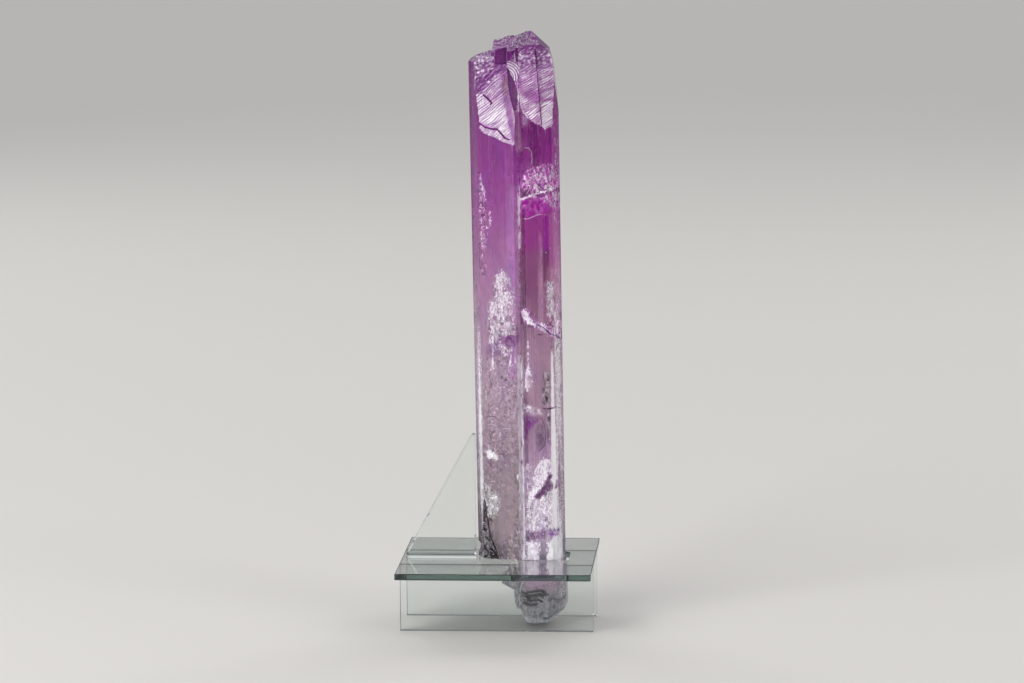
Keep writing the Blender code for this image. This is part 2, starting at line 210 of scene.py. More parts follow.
add_floor()
add_world()
for name, (azimuth, elevation, distance, width, height, watts) in SOFT_BOXES.items():
    away = on_sphere(math.radians(azimuth), math.radians(elevation))
    add_box(name, CAMERA_TARGET + away * distance, -away, width, height, watts)
add_box("far_box", FAR_BOX_PLACE, Vector((0.0, 0.0, -1.0)), FAR_BOX_WIDTH, FAR_BOX_DEPTH, FAR_BOX_WATTS)
scene.view_settings.view_transform = "Standard"
print("lights:", len(SOFT_BOXES) + 1)

# %% [markdown]
# ## The crystal's own frame
#
# The specimen is two parallel crystals grown together, and it leans a little in its stand. Every feature is easier to
# place in a frame that stands upright with the crystal, so tools are made there and then leaned with it.

# %% The crystal's own frame
AXIS_X = 11.54 * MM
LEAN = math.radians(-0.665)
UPRIGHT_TO_WORLD = Matrix.Translation((AXIS_X, 0.0, 0.0)) @ Matrix.Rotation(LEAN, 4, "Y")
# Corners of the cross-section, anticlockwise from the left edge: x low down, x at the top, y
OUTLINE_MM = (
    (-20.7, -21.1, -1.0), (-17.6, -17.2, -7.4), (-13.8, -13.4, -9.8), (-0.8, 0.2, -11.3), (0.8, 2.6, -7.8),
    (2.4, 4.2, -11.2), (13.2, 13.5, -12.6), (15.3, 15.9, -11.7), (17.3, 18.0, -9.3), (20.8, 21.1, -2.0),
    (20.2, 20.4, 4.0), (15.4, 15.6, 9.6), (4.8, 5.2, 12.0), (0.6, 1.8, 8.8), (-3.4, -2.8, 11.4),
    (-14.6, -14.8, 10.0), (-19.8, -20.2, 4.8),
)
OUTLINE_LOW = 24 * MM
OUTLINE_HIGH = 292 * MM


def corner(index, z):
    """A corner of the cross-section at a height."""
    low, high, y = OUTLINE_MM[index % len(OUTLINE_MM)]
    share = (z - OUTLINE_LOW) / (OUTLINE_HIGH - OUTLINE_LOW)
    return Vector(((low + (high - low) * share) * MM, y * MM))


def front_y(x, z):
    """Where the front of the crystal stands at a given x and height."""
    for index in range(9):
        start = corner(index, z)
        end = corner(index + 1, z)
        if start.x <= x <= end.x:
            return start.y + (end.y - start.y) * (x - start.x) / (end.x - start.x)
    return corner(0, z).y


print("depth of the crystal:", round(max(y for _, _, y in OUTLINE_MM) - min(y for _, _, y in OUTLINE_MM), 1), "mm")

# %% [markdown]
# ## Tools that cut
#
# A crystal is flat facets with crisp edges, so detail is cut into it with closed tool shapes and Booleans, and not
# pushed about with displacement, which would round every edge. Each tool carries a number as its material index, and
# the new faces keep that number, so the material can tell a grown face from an etched or a broken one.

# %% Helpers for tools
FINISHES = ("grown", "etched", "deep", "pale", "fracture", "well")
GROWN, ETCHED, DEEP, PALE, FRACTURE, WELL = range(len(FINISHES))


def mesh_object(bm, name, finish=None):
    """Turn a closed bmesh into an object, with one finish number on all its faces where it is given."""
    bmesh.ops.recalc_face_normals(bm, faces=bm.faces)
    if finish is not None:
        for face in bm.faces:
            face.material_index = finish
    mesh = bpy.data.meshes.new(name)
    bm.to_mesh(mesh)
    bm.free()
    for _ in FINISHES:
        mesh.materials.append(None)
    item = bpy.data.objects.new(name, mesh)
    scene.collection.objects.link(item)
    return item


def skin(bm, rings):
    """Skin a stack of closed rings of equal length, and cap both ends."""
    loops = [[bm.verts.new(point) for point in ring] for ring in rings]
    for lower, upper in zip(loops, loops[1:]):
        for index in range(len(lower)):
            following = (index + 1) % len(lower)
            bm.faces.new((lower[index], lower[following], upper[following], upper[index]))
    bm.faces.new(list(reversed(loops[0])))
    bm.faces.new(loops[-1])


def face_numbers(mesh):
    """The finish number of every face."""
    numbers = np.empty(len(mesh.polygons), dtype=np.int32)
    mesh.polygons.foreach_get("material_index", numbers)
    return numbers


def cut(target, tool):
    """Cut the target with a tool made in the upright frame, and keep the result as its mesh."""
    tool.data.transform(UPRIGHT_TO_WORLD)
    step = target.modifiers.new(tool.name, "BOOLEAN")
    step.solver = "MANIFOLD"
    step.operation = "DIFFERENCE"
    step.object = tool
    worked = target.evaluated_get(bpy.context.evaluated_depsgraph_get())
    result = bpy.data.meshes.new_from_object(worked)
    target.modifiers.remove(step)
    target.data = result
    numbers = face_numbers(result)
    counts = {name: int((numbers == number).sum()) for number, name in enumerate(FINISHES)}
    print(f"after {tool.name}: {len(numbers)} faces, {counts}")
    bpy.data.objects.remove(tool)


def sliced_patch(outline, floor, far, slices):
    """A closed block over an outline: a sculpted floor, straight sides and a flat far end at w = far."""
    bm = bmesh.new()
    patch = bm.faces.new([bm.verts.new((u, v, 0.0)) for u, v in outline])
    centre = patch.calc_center_median()
    reach = max((vert.co - centre).length for vert in bm.verts)
    for angle, spacing in slices:
        across = Vector((-math.sin(angle), math.cos(angle), 0.0))
        for step in range(-int(reach / spacing), int(reach / spacing) + 1):
            geometry = bm.verts[:] + bm.edges[:] + bm.faces[:]
            place = centre + across * spacing * step
            bmesh.ops.bisect_plane(bm, geom=geometry, dist=1e-7, plane_co=place, plane_no=across)
    rim = [edge for edge in bm.edges if edge.is_boundary]
    sides = bmesh.ops.extrude_edge_only(bm, edges=rim)["geom"]
    lifted = {item for item in sides if isinstance(item, bmesh.types.BMVert)}
    for vert in bm.verts:
        vert.co.z = far if vert in lifted else floor(vert.co.x, vert.co.y)
    far_edges = [item for item in sides if isinstance(item, bmesh.types.BMEdge) and item.is_boundary]
    bmesh.ops.contextual_create(bm, geom=far_edges)
    return bm


def front_tool(name, outline, floor, slices, finish):
    """A tool that eats into the front down to a floor, given as y at each (x, z)."""
    bm = sliced_patch(outline, lambda x, z: -floor(x, z), 40 * MM, slices)
    # In the patch, u is x, v is z and w points to the front, along -Y
    to_front = Matrix(((1, 0, 0, 0), (0, 0, -1, 0), (0, 1, 0, 0), (0, 0, 0, 1)))
    bmesh.ops.transform(bm, matrix=to_front, verts=bm.verts)
    return mesh_object(bm, name, finish)


def grown_outline(outline_mm, amount=0.08):
    """An outline in metres, pushed out a little so that it clears the coarse cut that it refines."""
    middle = Vector((sum(x for x, _ in outline_mm), sum(z for _, z in outline_mm))) / len(outline_mm)
    points = [Vector(point) for point in outline_mm]
    return [tuple((point + (point - middle).normalized() * amount) * MM) for point in points]


# %% [markdown]
# ## The crystal as a blank
#
# The solid of the crystal is copied and its split corners are welded, so that the tools meet one closed skin. Its
# front is then sliced into small faces, because the veils and the tints are held at the corners of the faces.

# %% The blank
WELD = 0.002 * MM
FRONT_DEPTH = -7.0 * MM
SLICE_Z = 0.9 * MM
SLICE_X = 0.9 * MM
SLICED_LOW = 26 * MM
SLICED_HIGH = 266 * MM
SLICED_LEFT = -17.0 * MM
SLICED_RIGHT = 17.0 * MM
# Upright borders of strips, among them the painted highlights down the edge bevels and the groove, which get a slice of
# their own
STRIP_EDGES_MM = (-20.0, -19.2, -18.4, -17.5, -16.6, 1.0, 1.5, 2.1, 2.5, 13.3, 13.9, 15.3, 15.6, 16.9, 17.3, 18.2,
                  19.1)
# The sloping facets at the very top are etched as well
TOP_FACETS_Z = 262 * MM
TOP_FACET_SLOPE = 0.25


def slice_front(bm, low, high, spacing, normal):
    """Slice the front faces with planes a spacing apart."""
    across = (UPRIGHT_TO_WORLD.to_3x3() @ normal).normalized()
    faces = [face for face in bm.faces if face.calc_center_median().y < FRONT_DEPTH]
    place = low
    while place < high:
        geometry = {item for face in faces for item in (*face.verts, *face.edges, face)}
        point = UPRIGHT_TO_WORLD @ (normal * place)
        cut_parts = bmesh.ops.bisect_plane(bm, geom=list(geometry), dist=1e-7, plane_co=point, plane_no=across)
        beyond = across.dot(point)
        faces = [item for item in cut_parts["geom"] if isinstance(item, bmesh.types.BMFace)
                 and across.dot(item.calc_center_median()) > beyond]
        place += spacing


def crystal_blank():
    """A closed copy of the crystal's solid with a finely sliced front."""
    bm = bmesh.new()
    bm.from_mesh(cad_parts["kunzite_crystal"].data)
    bmesh.ops.remove_doubles(bm, verts=bm.verts, dist=WELD)
    slice_front(bm, SLICED_LOW, SLICED_HIGH, SLICE_Z, Vector((0.0, 0.0, 1.0)))
    slice_front(bm, SLICED_LEFT, SLICED_RIGHT, SLICE_X, Vector((1.0, 0.0, 0.0)))
    for edge in STRIP_EDGES_MM:
        slice_front(bm, edge * MM, edge * MM + SLICE_X / 2, SLICE_X, Vector((1.0, 0.0, 0.0)))
    for face in bm.faces:
        etched = face.calc_center_median().z > TOP_FACETS_Z and face.normal.z > TOP_FACET_SLOPE
        face.material_index = ETCHED if etched else GROWN
    open_edges = sum(1 for edge in bm.edges if not edge.is_manifold)
    print("blank:", len(bm.faces), "faces,", open_edges, "open edges")
    return mesh_object(bm, "kunzite")


kunzite = crystal_blank()

# %% [markdown]
# ## Etched tops
#
# After the crystal grew, hot fluid ate back into its top. On kunzite this leaves fields of fine slanting ridges, less
# than a millimetre apart, that look white because each one scatters light. The ridges are real relief here: the floor
# of the tool is sliced along their direction, and each slice is moved to the saw-tooth's height.

# %% Etched fields
OPEN_TOP_MM = 300
ETCH_LEVEL = 240 * MM
LEFT_ETCH_MM = (
    (-17.8, OPEN_TOP_MM), (-17.8, 254.3), (-17.5, 247.0), (-16.8, 241.8), (-16.0, 238.8), (-13.3, 236.2),
    (-8.3, 234.3), (-4.8, 232.3), (-2.1, 231.5), (0.8, 230.3), (1.3, 235.2), (0.3, 247.0), (-2.1, 258.7),
    (-2.2, OPEN_TOP_MM),
)
RIGHT_ETCH_MM = (
    (2.4, OPEN_TOP_MM), (3.0, 262.6), (2.1, 254.0), (3.5, 249.3), (5.8, 245.8), (8.1, 242.7), (11.0, 241.0),
    (13.4, 239.6), (13.0, 246.1), (11.7, 262.5), (10.8, OPEN_TOP_MM),
)
SIDE_ETCH_MM = (
    (11.2, OPEN_TOP_MM), (12.1, 262.5), (13.4, 246.1), (13.8, 239.6), (15.0, 238.4), (17.7, 238.9),
    (20.0, 241.2), (20.9, 246.9), (21.4, 256.0), (30.0, 258.0), (30.0, OPEN_TOP_MM),
)
# Planes of the etched floors: y at (x = 0, z = ETCH_LEVEL), slope along x, slope along z
LEFT_FLOOR = (-10.4 * MM, -0.10, 0.055)
RIGHT_FLOOR = (-10.4 * MM, -0.11, 0.050)
SIDE_FLOOR = (-24.0 * MM, 0.84, 0.075)
COARSE_DEPTH = 0.36 * MM
RIDGE_SPACING = 1.0 * MM
RIDGE_DEPTH = 0.42 * MM
RIDGE_SLICES = 4
CROSS_SLICE = 1.0 * MM
BUMP_SIZE = 1.1 * MM
BUMP_DEPTH = 0.45 * MM
LEFT_RIDGE_ANGLE = math.radians(40)
RIGHT_RIDGE_ANGLE = math.radians(31)


def ridge(u, v, angle, spacing):
    """Saw-tooth ridges that run at an angle to the u axis, from 0 in a groove to 1 on a crest."""
    across = v * math.cos(angle) - u * math.sin(angle)
    place = Vector((u, v, 0.0)) / spacing
    wander = noise.noise(place / 5.0) * 0.9 + noise.noise(place / 1.3) * 0.28
    phase = (across / spacing + wander) % 1.0
    return 1.0 - phase / 0.7 if phase < 0.7 else (phase - 0.7) / 0.3


def ramp(value, start, end):
    """0 before start, 1 after end, and smooth between them."""
    share = min(max((value - start) / (end - start), 0.0), 1.0)
    return share * share * (3 - 2 * share)


def swirled(x, z):
    """How far a point lies in the bumpy upper part of its etched field."""
    if x < 1 * MM:
        edge = 259 * MM + (x + 11 * MM) * 0.8
        return ramp(z, edge - 0.5 * MM, edge + 1.5 * MM)
    return ramp(z, 262 * MM, 272 * MM)


def etched_floor(plane, angle):
    """The floor of an etched field: y at each (x, z)."""
    level, slope_x, slope_z = plane

    def floor(x, z):
        place = Vector((x, z, 0.0))
        strength = 0.7 + 0.6 * noise.noise(place / (5 * MM))
        ridges = RIDGE_DEPTH * strength * (1.0 - ridge(x, z, angle, RIDGE_SPACING))
        bumps = BUMP_DEPTH * (0.5 + noise.noise(place / BUMP_SIZE))
        share = swirled(x, z)
        relief = ridges * (1 - share) + bumps * share
        return level + slope_x * x + slope_z * (z - ETCH_LEVEL) + COARSE_DEPTH + relief

    return floor


ETCHES = {
    "left_etch": (LEFT_ETCH_MM, etched_floor(LEFT_FLOOR, LEFT_RIDGE_ANGLE), LEFT_RIDGE_ANGLE),
    "right_etch": (RIGHT_ETCH_MM, etched_floor(RIGHT_FLOOR, RIGHT_RIDGE_ANGLE), RIGHT_RIDGE_ANGLE),
    "side_etch": (SIDE_ETCH_MM, etched_floor(SIDE_FLOOR, RIGHT_RIDGE_ANGLE), RIGHT_RIDGE_ANGLE),
}


def cut_etches():
    """Cut the three etched fields."""
    for name, (outline_mm, floor, angle) in ETCHES.items():
        slices = ((angle, RIDGE_SPACING / RIDGE_SLICES), (angle + math.radians(90), CROSS_SLICE))
        cut(kunzite, front_tool(name, grown_outline(outline_mm), floor, slices, ETCHED))


cut_etches()

# %% [markdown]
# ## The tops, the notch and the cleft
#
# Both crystals end in low hillocks, with a step between them, a square notch beside the step and a deep narrow cleft
# where the two etched fields meet. The cleft and the notch are smooth inside, and their faces are painted a deep
# purple, darkest in the right half of the notch.

# %% Tops, notch and cleft
STEP_X = -9.8 * MM
LEFT_TOP = (273.3 * MM, 0.15, 0.22)
RIGHT_TOP = (278.0 * MM, 0.22, 0.27)
HOLLOW_DEPTH = 0.5 * MM
HOLLOW_SIZE = 6 * MM
HILLOCK_SIZE = 1.7 * MM
HILLOCK_DEPTH = 0.7 * MM
TOP_SLICE = 0.6 * MM
HALF_REACH = 30 * MM
CLEFT_MM = (
    (-2.5, 266.6), (-2.1, 258.7), (-1.3, 253.0), (0.2, 246.7), (1.5, 247.2), (2.1, 250.6), (2.2, 253.7),
    (2.0, 256.5), (0.9, 260.3), (-0.9, 264.1), (-1.8, 266.4),
)
CRESCENT_MM = (
    (-2.8, 267.6), (-2.2, 269.8), (-0.6, 270.8), (0.9, 270.4), (2.2, 268.8), (3.2, 266.2), (3.0, 263.4),
    (2.2, 260.6), (0.6, 260.4), (-1.0, 264.0), (-1.9, 266.2),
)
CRESCENT_LEVEL = -8.2 * MM
CRESCENT_CENTRE = Vector((-3.6, 262.0)) * MM
CRESCENT_STEP = 1.15 * MM


def top_tool(name, low, high, plane):
    """A tool that works a top into hillocks."""
    height, slope_x, slope_y = plane
    outline = ((low, -HALF_REACH), (high, -HALF_REACH), (high, HALF_REACH), (low, HALF_REACH))

    def floor(x, y):
        place = Vector((x, y, 0.0))
        hollow = HOLLOW_DEPTH * noise.noise(place / HOLLOW_SIZE)
        hillock = HILLOCK_DEPTH * abs(noise.noise(place / HILLOCK_SIZE)) * 1.6
        return height + slope_x * x + slope_y * y + hollow - 0.08 * MM - hillock

    slices = ((0.0, TOP_SLICE), (math.radians(90), TOP_SLICE))
    return mesh_object(sliced_patch(outline, floor, OPEN_TOP_MM * MM + TOP_SLICE, slices), name, ETCHED)


def crescent_floor(x, z):
    """Shell-like arcs beside the cleft, as y at each (x, z)."""
    radius = (Vector((x, z)) - CRESCENT_CENTRE).length
    return CRESCENT_LEVEL + 0.5 * MM * (radius / CRESCENT_STEP % 1.0) + (x + 2.9 * MM) * 0.06


def cut_tops():
    """Cut the tops, the notch, the cleft and its shell-like lip."""
    cut(kunzite, top_tool("left_top", -24 * MM, STEP_X + 0.06 * MM, LEFT_TOP))
    cut(kunzite, top_tool("right_top", STEP_X - 0.6 * MM, 25 * MM, RIGHT_TOP))
    crescent_slices = ((0.0, 0.2 * MM), (math.radians(90), 0.2 * MM))
    cut(kunzite, front_tool("crescent", grown_outline(CRESCENT_MM, 0.0), crescent_floor, crescent_slices, ETCHED))
    cut(kunzite, front_tool("cleft", grown_outline(CLEFT_MM, 0.06), lambda x, z: -5.6 * MM, (), WELL))
    notch_mm = ((-8.06, 268.5), (-2.74, 268.5), (-2.74, OPEN_TOP_MM), (-8.06, OPEN_TOP_MM))
    cut(kunzite, front_tool("notch", grown_outline(notch_mm, 0.0), lambda x, z: -3.8 * MM, (), WELL))


cut_tops()

# %% [markdown]
# ## Growth striae
#
# Spodumene is striated along its length: every face carries fine grooves that start and stop at different heights.
# Each groove is a long spindle with a triangular section, sunk about a tenth of a millimetre into its face.

# %% Growth striae
STRIA_PITCH = 1.15 * MM
STRIA_WIDTH = (0.22 * MM, 0.50 * MM)
STRIA_DEPTH = (0.05 * MM, 0.16 * MM)
STRIA_TAPER = 5 * MM
STRIA_LOW = 38 * MM
STRIA_HIGH = 262 * MM


def stria(bm, index, share, low, high, width, depth):
    """One spindle groove on a side of the outline."""
    rings = []
    for z, sink in ((low, -0.05 * MM), (low + STRIA_TAPER, depth), (high - STRIA_TAPER, depth), (high, -0.05 * MM)):
        start = corner(index, z)
        side = corner(index + 1, z) - start
        along = side.normalized()
        inward = Vector((-along.y, along.x))
        middle = start + side * share
        points = (middle - along * width / 2 - inward * 0.4 * MM, middle + inward * sink,
                  middle + along * width / 2 - inward * 0.4 * MM)
        rings.append([(point.x, point.y, z) for point in points])
    skin(bm, rings)


def striae_tool(seed):
    """All the striae as one tool."""
    rng = random.Random(seed)
    bm = bmesh.new()
    for index in range(len(OUTLINE_MM)):
        length = (corner(index + 1, 0.15) - corner(index, 0.15)).length
        lanes = int(length / STRIA_PITCH)
        for lane in range(lanes):
            share = (lane + 0.5 + rng.uniform(-0.2, 0.2)) / lanes
            low = STRIA_LOW + rng.uniform(0, 60) * MM
            while low < STRIA_HIGH - 4 * STRIA_TAPER:
                high = min(low + rng.uniform(30, 130) * MM, STRIA_HIGH)
                width = rng.uniform(*STRIA_WIDTH)
                stria(bm, index, share, low, high, width, min(rng.uniform(*STRIA_DEPTH), width * 0.5))
                low = high + rng.uniform(5, 70) * MM
    return mesh_object(bm, "striae", GROWN)


cut(kunzite, striae_tool(seed=5))

# %% [markdown]
# ## Cracks that reach the skin
#
# Thin cracks show as dark lines where they swallow light, and as white lines where their edges are splintered. Each
# is a narrow V-shaped trench along a path on the front, cut to the depth of a fingernail's edge.

# %% Cracks on the front
# Each path: points as x and z in mm, the width of its mouth in mm
DARK_CRACKS_MM = {
    "left_field": (((-16.2, 241.2), (-13.1, 239.1), (-9.8, 238.2), (-7.5, 238.1), (-3.8, 233.9), (-1.5, 233.1)), 0.9),
    "left_short": (((-14.2, 254.6), (-12.0, 252.6), (-10.0, 250.4), (-10.8, 249.4)), 0.9),
    "right_border": (((11.0, 275.1), (11.4, 270.0), (11.9, 262.0), (12.9, 248.9), (13.7, 240.0)), 0.7),
    "right_high": (((12.8, 270.9), (14.6, 269.0)), 0.4),
    "low_break": (((-17.0, 62.0), (-16.2, 54.7), (-14.9, 46.0), (-11.7, 37.3), (-9.4, 34.4)), 0.8),
    "low_arc": (((10.3, 102.6), (12.6, 97.8), (13.0, 93.0), (12.4, 88.2), (9.1, 84.9)), 0.45),
    "left_arc": (((-16.7, 100.4), (-14.3, 102.1), (-11.0, 101.8), (-8.7, 99.4)), 0.4),
    "dash": (((9.5, 141.1), (12.7, 141.0)), 0.6),
    "low_mark": (((11.8, 106.0), (14.9, 105.8), (18.2, 106.0)), 0.9),
    "edge_crack": (((17.9, 132.6), (19.0, 135.0), (20.2, 136.2)), 0.4),
    "edge_low": (((18.0, 105.4), (20.4, 104.9)), 0.4),
    "cross_line": (((9.0, 146.4), (12.8, 144.4), (16.0, 141.4), (20.6, 137.8)), 0.6),
    "foot_high": (((-0.3, 18.0), (1.3, 16.8), (5.3, 17.8), (9.6, 18.3), (11.4, 17.2), (13.2, 15.4)), 1.2),
    "foot_middle": (((0.6, 16.0), (3.2, 15.0), (5.2, 15.7), (9.6, 16.2), (11.6, 15.6)), 1.3),
    "foot_right": (((12.4, 13.2), (14.3, 14.3), (17.5, 13.9), (19.4, 14.0), (21.1, 15.1)), 1.0),
    "foot_low": (((0.4, 12.3), (3.2, 11.3), (5.9, 11.1), (7.9, 11.9)), 1.0),
    "foot_tie": (((2.4, 14.2), (4.8, 13.2), (8.0, 13.6), (10.4, 12.4)), 1.1),
}
PALE_CRACKS_MM = {
    "upper_main": (((2.2, 204.2), (4.7, 205.7), (7.7, 206.5), (10.6, 207.7), (13.0, 208.2)), 0.5),
    "upper_slant": (((4.3, 211.9), (7.8, 214.8), (11.4, 217.1)), 0.5),
    "upper_branch": (((5.6, 207.4), (8.4, 211.4), (9.4, 216.0)), 0.35),
    "upper_tail": (((9.6, 213.2), (12.4, 210.4), (13.2, 209.2)), 0.35),
    "upper_second": (((4.0, 196.2), (6.3, 195.9), (11.1, 197.9), (13.2, 198.2)), 0.35),
    "loop": (((5.0, 229.5), (7.4, 229.3), (8.5, 227.4), (8.7, 224.1), (8.2, 221.3)), 0.35),
    "left_arc_inner": (((-15.6, 97.0), (-13.4, 98.2), (-10.8, 97.6)), 0.3),
    "left_flash": (((-7.8, 96.0), (-5.2, 96.4), (-3.6, 95.6)), 0.35),
    "foot_outer": (((-1.3, 19.0), (-1.3, 15.6), (-1.5, 9.4)), 0.7),
    "foot_inner": (((0.5, 11.5), (0.5, 5.5)), 0.7),
    "foot_third": (((2.3, 10.3), (2.1, 6.0)), 0.6),
    "foot_wave": (((2.0, 16.8), (5.4, 16.7), (8.4, 17.3), (10.4, 16.6)), 0.45),
    "foot_wave_low": (((3.0, 12.6), (6.0, 12.4), (8.2, 12.8)), 0.4),
}
TRENCH_CLEAR = 0.5 * MM
TRENCH_STEP = 1.2 * MM
CAST_FROM = -40 * MM


def front_skin():
    """A lookup of the worked front's y at a point (x, z), which casts a ray at the mesh."""
    mesh = kunzite.data
    tree = BVHTree.FromPolygons([vert.co for vert in mesh.vertices], [face.vertices for face in mesh.polygons])
    to_upright = UPRIGHT_TO_WORLD.inverted()

    def skin_y(x, z):
        hit = tree.ray_cast(UPRIGHT_TO_WORLD @ Vector((x, CAST_FROM, z)), Vector((0.0, 1.0, 0.0)))[0]
        return (to_upright @ hit).y if hit else front_y(x, z)

    return skin_y


def stepped(path_mm):
    """A path in metres, with points added so that none is further than a step from the next."""
    points = [Vector(point) * MM for point in path_mm]
    route = [points[0]]
    for start, end in zip(points, points[1:]):
        parts = max(math.ceil((end - start).length / TRENCH_STEP), 1)
        route += [start.lerp(end, part / parts) for part in range(1, parts + 1)]
    return route


def trench(bm, path_mm, width_mm, skin_y):
    """A V-shaped trench along a path on the front, which runs out at both ends."""
    points = stepped(path_mm)
    rings = []
    for index, point in enumerate(points):
        before = points[max(index - 1, 0)]
        after = points[min(index + 1, len(points) - 1)]
        along = (after - before).normalized()
        across = Vector((-along.y, along.x))
        end = index in (0, len(points) - 1)
        half = width_mm * MM * (0.25 if end else 0.5)
        depth = width_mm * MM * (0.2 if end else 0.9)
        y = skin_y(point.x, point.y)
        left = point - across * half * 1.6
        right = point + across * half * 1.6
        rings.append(((left.x, y - TRENCH_CLEAR, left.y), (point.x, y + depth, point.y),
                      (right.x, y - TRENCH_CLEAR, right.y)))
    skin(bm, rings)


def cut_cracks():
    """Cut the dark and the pale cracks."""
    skin_y = front_skin()
    for kind, finish, cracks in (("dark_cracks", DEEP, DARK_CRACKS_MM), ("pale_cracks", PALE, PALE_CRACKS_MM)):
        bm = bmesh.new()
        for path_mm, width_mm in cracks.values():
            trench(bm, path_mm, width_mm, skin_y)
        cut(kunzite, mesh_object(bm, kind, finish))


cut_cracks()

# %% [markdown]
# ## Fractures
#
# A crack inside a clear stone is a film of air. It mirrors light that meets it at a slant, which is why a cracked
# crystal flashes white and violet. Each crack is a thin, wavy, lens-shaped gap. Those that reach the skin are cut out
# of it, and the rest are closed gaps inside.

# %% Fractures
SHEET_RINGS = 6
SHEET_SIDES = 26
RAGGED = 0.30
# Fractures that reach the front: centre, normal, long direction, half lengths, gap and wave, in mm
OPEN_CRACKS_MM = {
    "cross_crack": ((11.2, -2.0, 144.6), (0.57, 0.03, 0.82), (0.82, 0.0, -0.57), (12.4, 10.6), 0.16, 0.45),
    "upper_crack": ((11.8, -2.5, 206.2), (-0.36, 0.10, 0.93), (0.93, 0.0, 0.36), (11.6, 10.2), 0.16, 0.55),
    "second_crack": ((17.8, -5.0, 198.3), (-0.06, 0.05, 1.0), (1.0, 0.0, 0.06), (4.2, 5.0), 0.14, 0.20),
}
# Fields of closed fractures: middle and half size of the field, how many, smallest and largest half length, in mm
FRACTURE_FIELDS_MM = {
    "upper_net": ((11.5, -6.0, 212.5), (7.0, 3.5, 6.5), 12, (1.2, 3.6)),
    "cross_net": ((8.0, -6.0, 146.5), (5.0, 3.0, 3.0), 5, (1.2, 2.6)),
    "veil_net": ((-7.0, -4.0, 140.0), (5.0, 4.0, 12.0), 8, (1.0, 2.6)),
    "low_left_net": ((-10.5, -5.0, 72.0), (6.0, 3.5, 26.0), 20, (1.0, 3.0)),
    "low_right_net": ((10.0, -6.0, 66.0), (6.0, 3.5, 26.0), 16, (1.0, 2.8)),
    "foot_net": ((9.0, -3.0, 13.0), (7.5, 3.5, 5.0), 14, (1.2, 3.4)),
}


def fracture_sheet(bm, centre, normal, along, half_lengths, gap, wave, seed):
    """A thin lens-shaped gap with a wavy middle and a ragged rim. All lengths are in mm."""
    normal = Vector(normal).normalized()
    along = (Vector(along) - normal * Vector(along).dot(normal)).normalized()
    other = normal.cross(along)
    offset = Vector((seed * 3.7, seed * 1.3, seed * 2.1))
    long_half, short_half = half_lengths

    def point(turn, share, side):
        around = Vector((math.cos(turn), math.sin(turn), 0.0))
        reach = 1 + RAGGED * noise.noise(around * 2.2 + offset)
        flat = along * around.x * long_half * share * reach + other * around.y * short_half * share * reach
        ripple = noise.noise(flat / 3.5 + offset) + 0.4 * noise.noise(flat / 1.3 + offset)
        swell = gap / 2 * math.sqrt(max(1 - share ** 2, 0.0)) + 0.004
        return (Vector(centre) + flat + normal * (wave * ripple + side * swell)) * MM

    turns = [math.tau * step / SHEET_SIDES for step in range(SHEET_SIDES)]
    rim = [bm.verts.new(point(turn, 1.0, 0)) for turn in turns]
    for side in (-1, 1):
        middle = bm.verts.new(point(0.0, 0.0, side))
        loops = [[bm.verts.new(point(turn, ring / SHEET_RINGS, side)) for turn in turns]
                 for ring in range(1, SHEET_RINGS)] + [rim]
        for index in range(SHEET_SIDES):
            following = (index + 1) % SHEET_SIDES
            bm.faces.new((middle, loops[0][index], loops[0][following])[::side])
            for inner, outer in zip(loops, loops[1:]):
                bm.faces.new((inner[index], outer[index], outer[following], inner[following])[::side])


def closed_fractures(seed):
    """Closed fractures in batches. The sheets of a batch stay clear of each other, so one cut takes them all."""
    rng = random.Random(seed)
    batches = []
    for middle, half_size, count, (smallest, largest) in FRACTURE_FIELDS_MM.values():
        for _ in range(count):
            centre = Vector([m + rng.uniform(-h, h) for m, h in zip(middle, half_size)])
            normal = (rng.uniform(-0.45, 0.15), -1.0, rng.uniform(0.0, 0.45))
            along = (rng.uniform(-1, 1), rng.uniform(-0.3, 0.3), rng.uniform(-1, 1))
            reach = rng.uniform(smallest, largest)
            halves = (reach, reach * rng.uniform(0.35, 0.8))
            clear = (batch for batch in batches
                     if all((centre - other).length > 1.4 * (reach + size) for other, size in batch[1]))
            batch = next(clear, None)
            if batch is None:
                batch = (bmesh.new(), [])
                batches.append(batch)
            batch[1].append((centre, reach))
            fracture_sheet(batch[0], centre, normal, along, halves, 0.12, 0.35, rng.uniform(0, 50))
    return [mesh_object(bm, f"fractures_{number}", FRACTURE) for number, (bm, _) in enumerate(batches)]


def cut_fractures():
    """Cut the open fractures and then the closed ones."""
    for seed, (name, (centre, normal, along, halves, gap, wave)) in enumerate(OPEN_CRACKS_MM.items()):
        bm = bmesh.new()
        fracture_sheet(bm, centre, normal, along, halves, gap, wave, seed + 1)
        cut(kunzite, mesh_object(bm, name, FRACTURE))
    for tool in closed_fractures(seed=11):
        cut(kunzite, tool)


cut_fractures()

# %% [markdown]
# ## Veils, tints and marks
#
# What is inside the stone but has no edge of its own, such as a veil of tiny bubbles or a zone of deeper colour, is
# held as numbers at the corners of the faces: a tint, how frosted the place is, and how crushed. Each zone is an
# outline on the front with a soft or ragged border. Some zones and paths hold painted highlights and flashes as white
# frosting. Shader nodes add the fine grain inside the zones.

# %% Helpers for zones
def outline_depth(x, z, outline):
    """How deep each point lies inside an outline, in mm, and less than 0 outside."""
    nearest = np.full(x.shape, np.inf)
    inside = np.zeros(x.shape, dtype=bool)
    for (x0, z0), (x1, z1) in zip(outline, outline[1:] + outline[:1]):
        run, rise = x1 - x0, z1 - z0
        share = np.clip(((x - x0) * run + (z - z0) * rise) / (run ** 2 + rise ** 2), 0, 1)
        nearest = np.minimum(nearest, np.hypot(x - x0 - share * run, z - z0 - share * rise))
        if rise:
            inside ^= ((z0 > z) != (z1 > z)) & (x < x0 + run * (z - z0) / rise)
    return np.where(inside, nearest, -nearest)


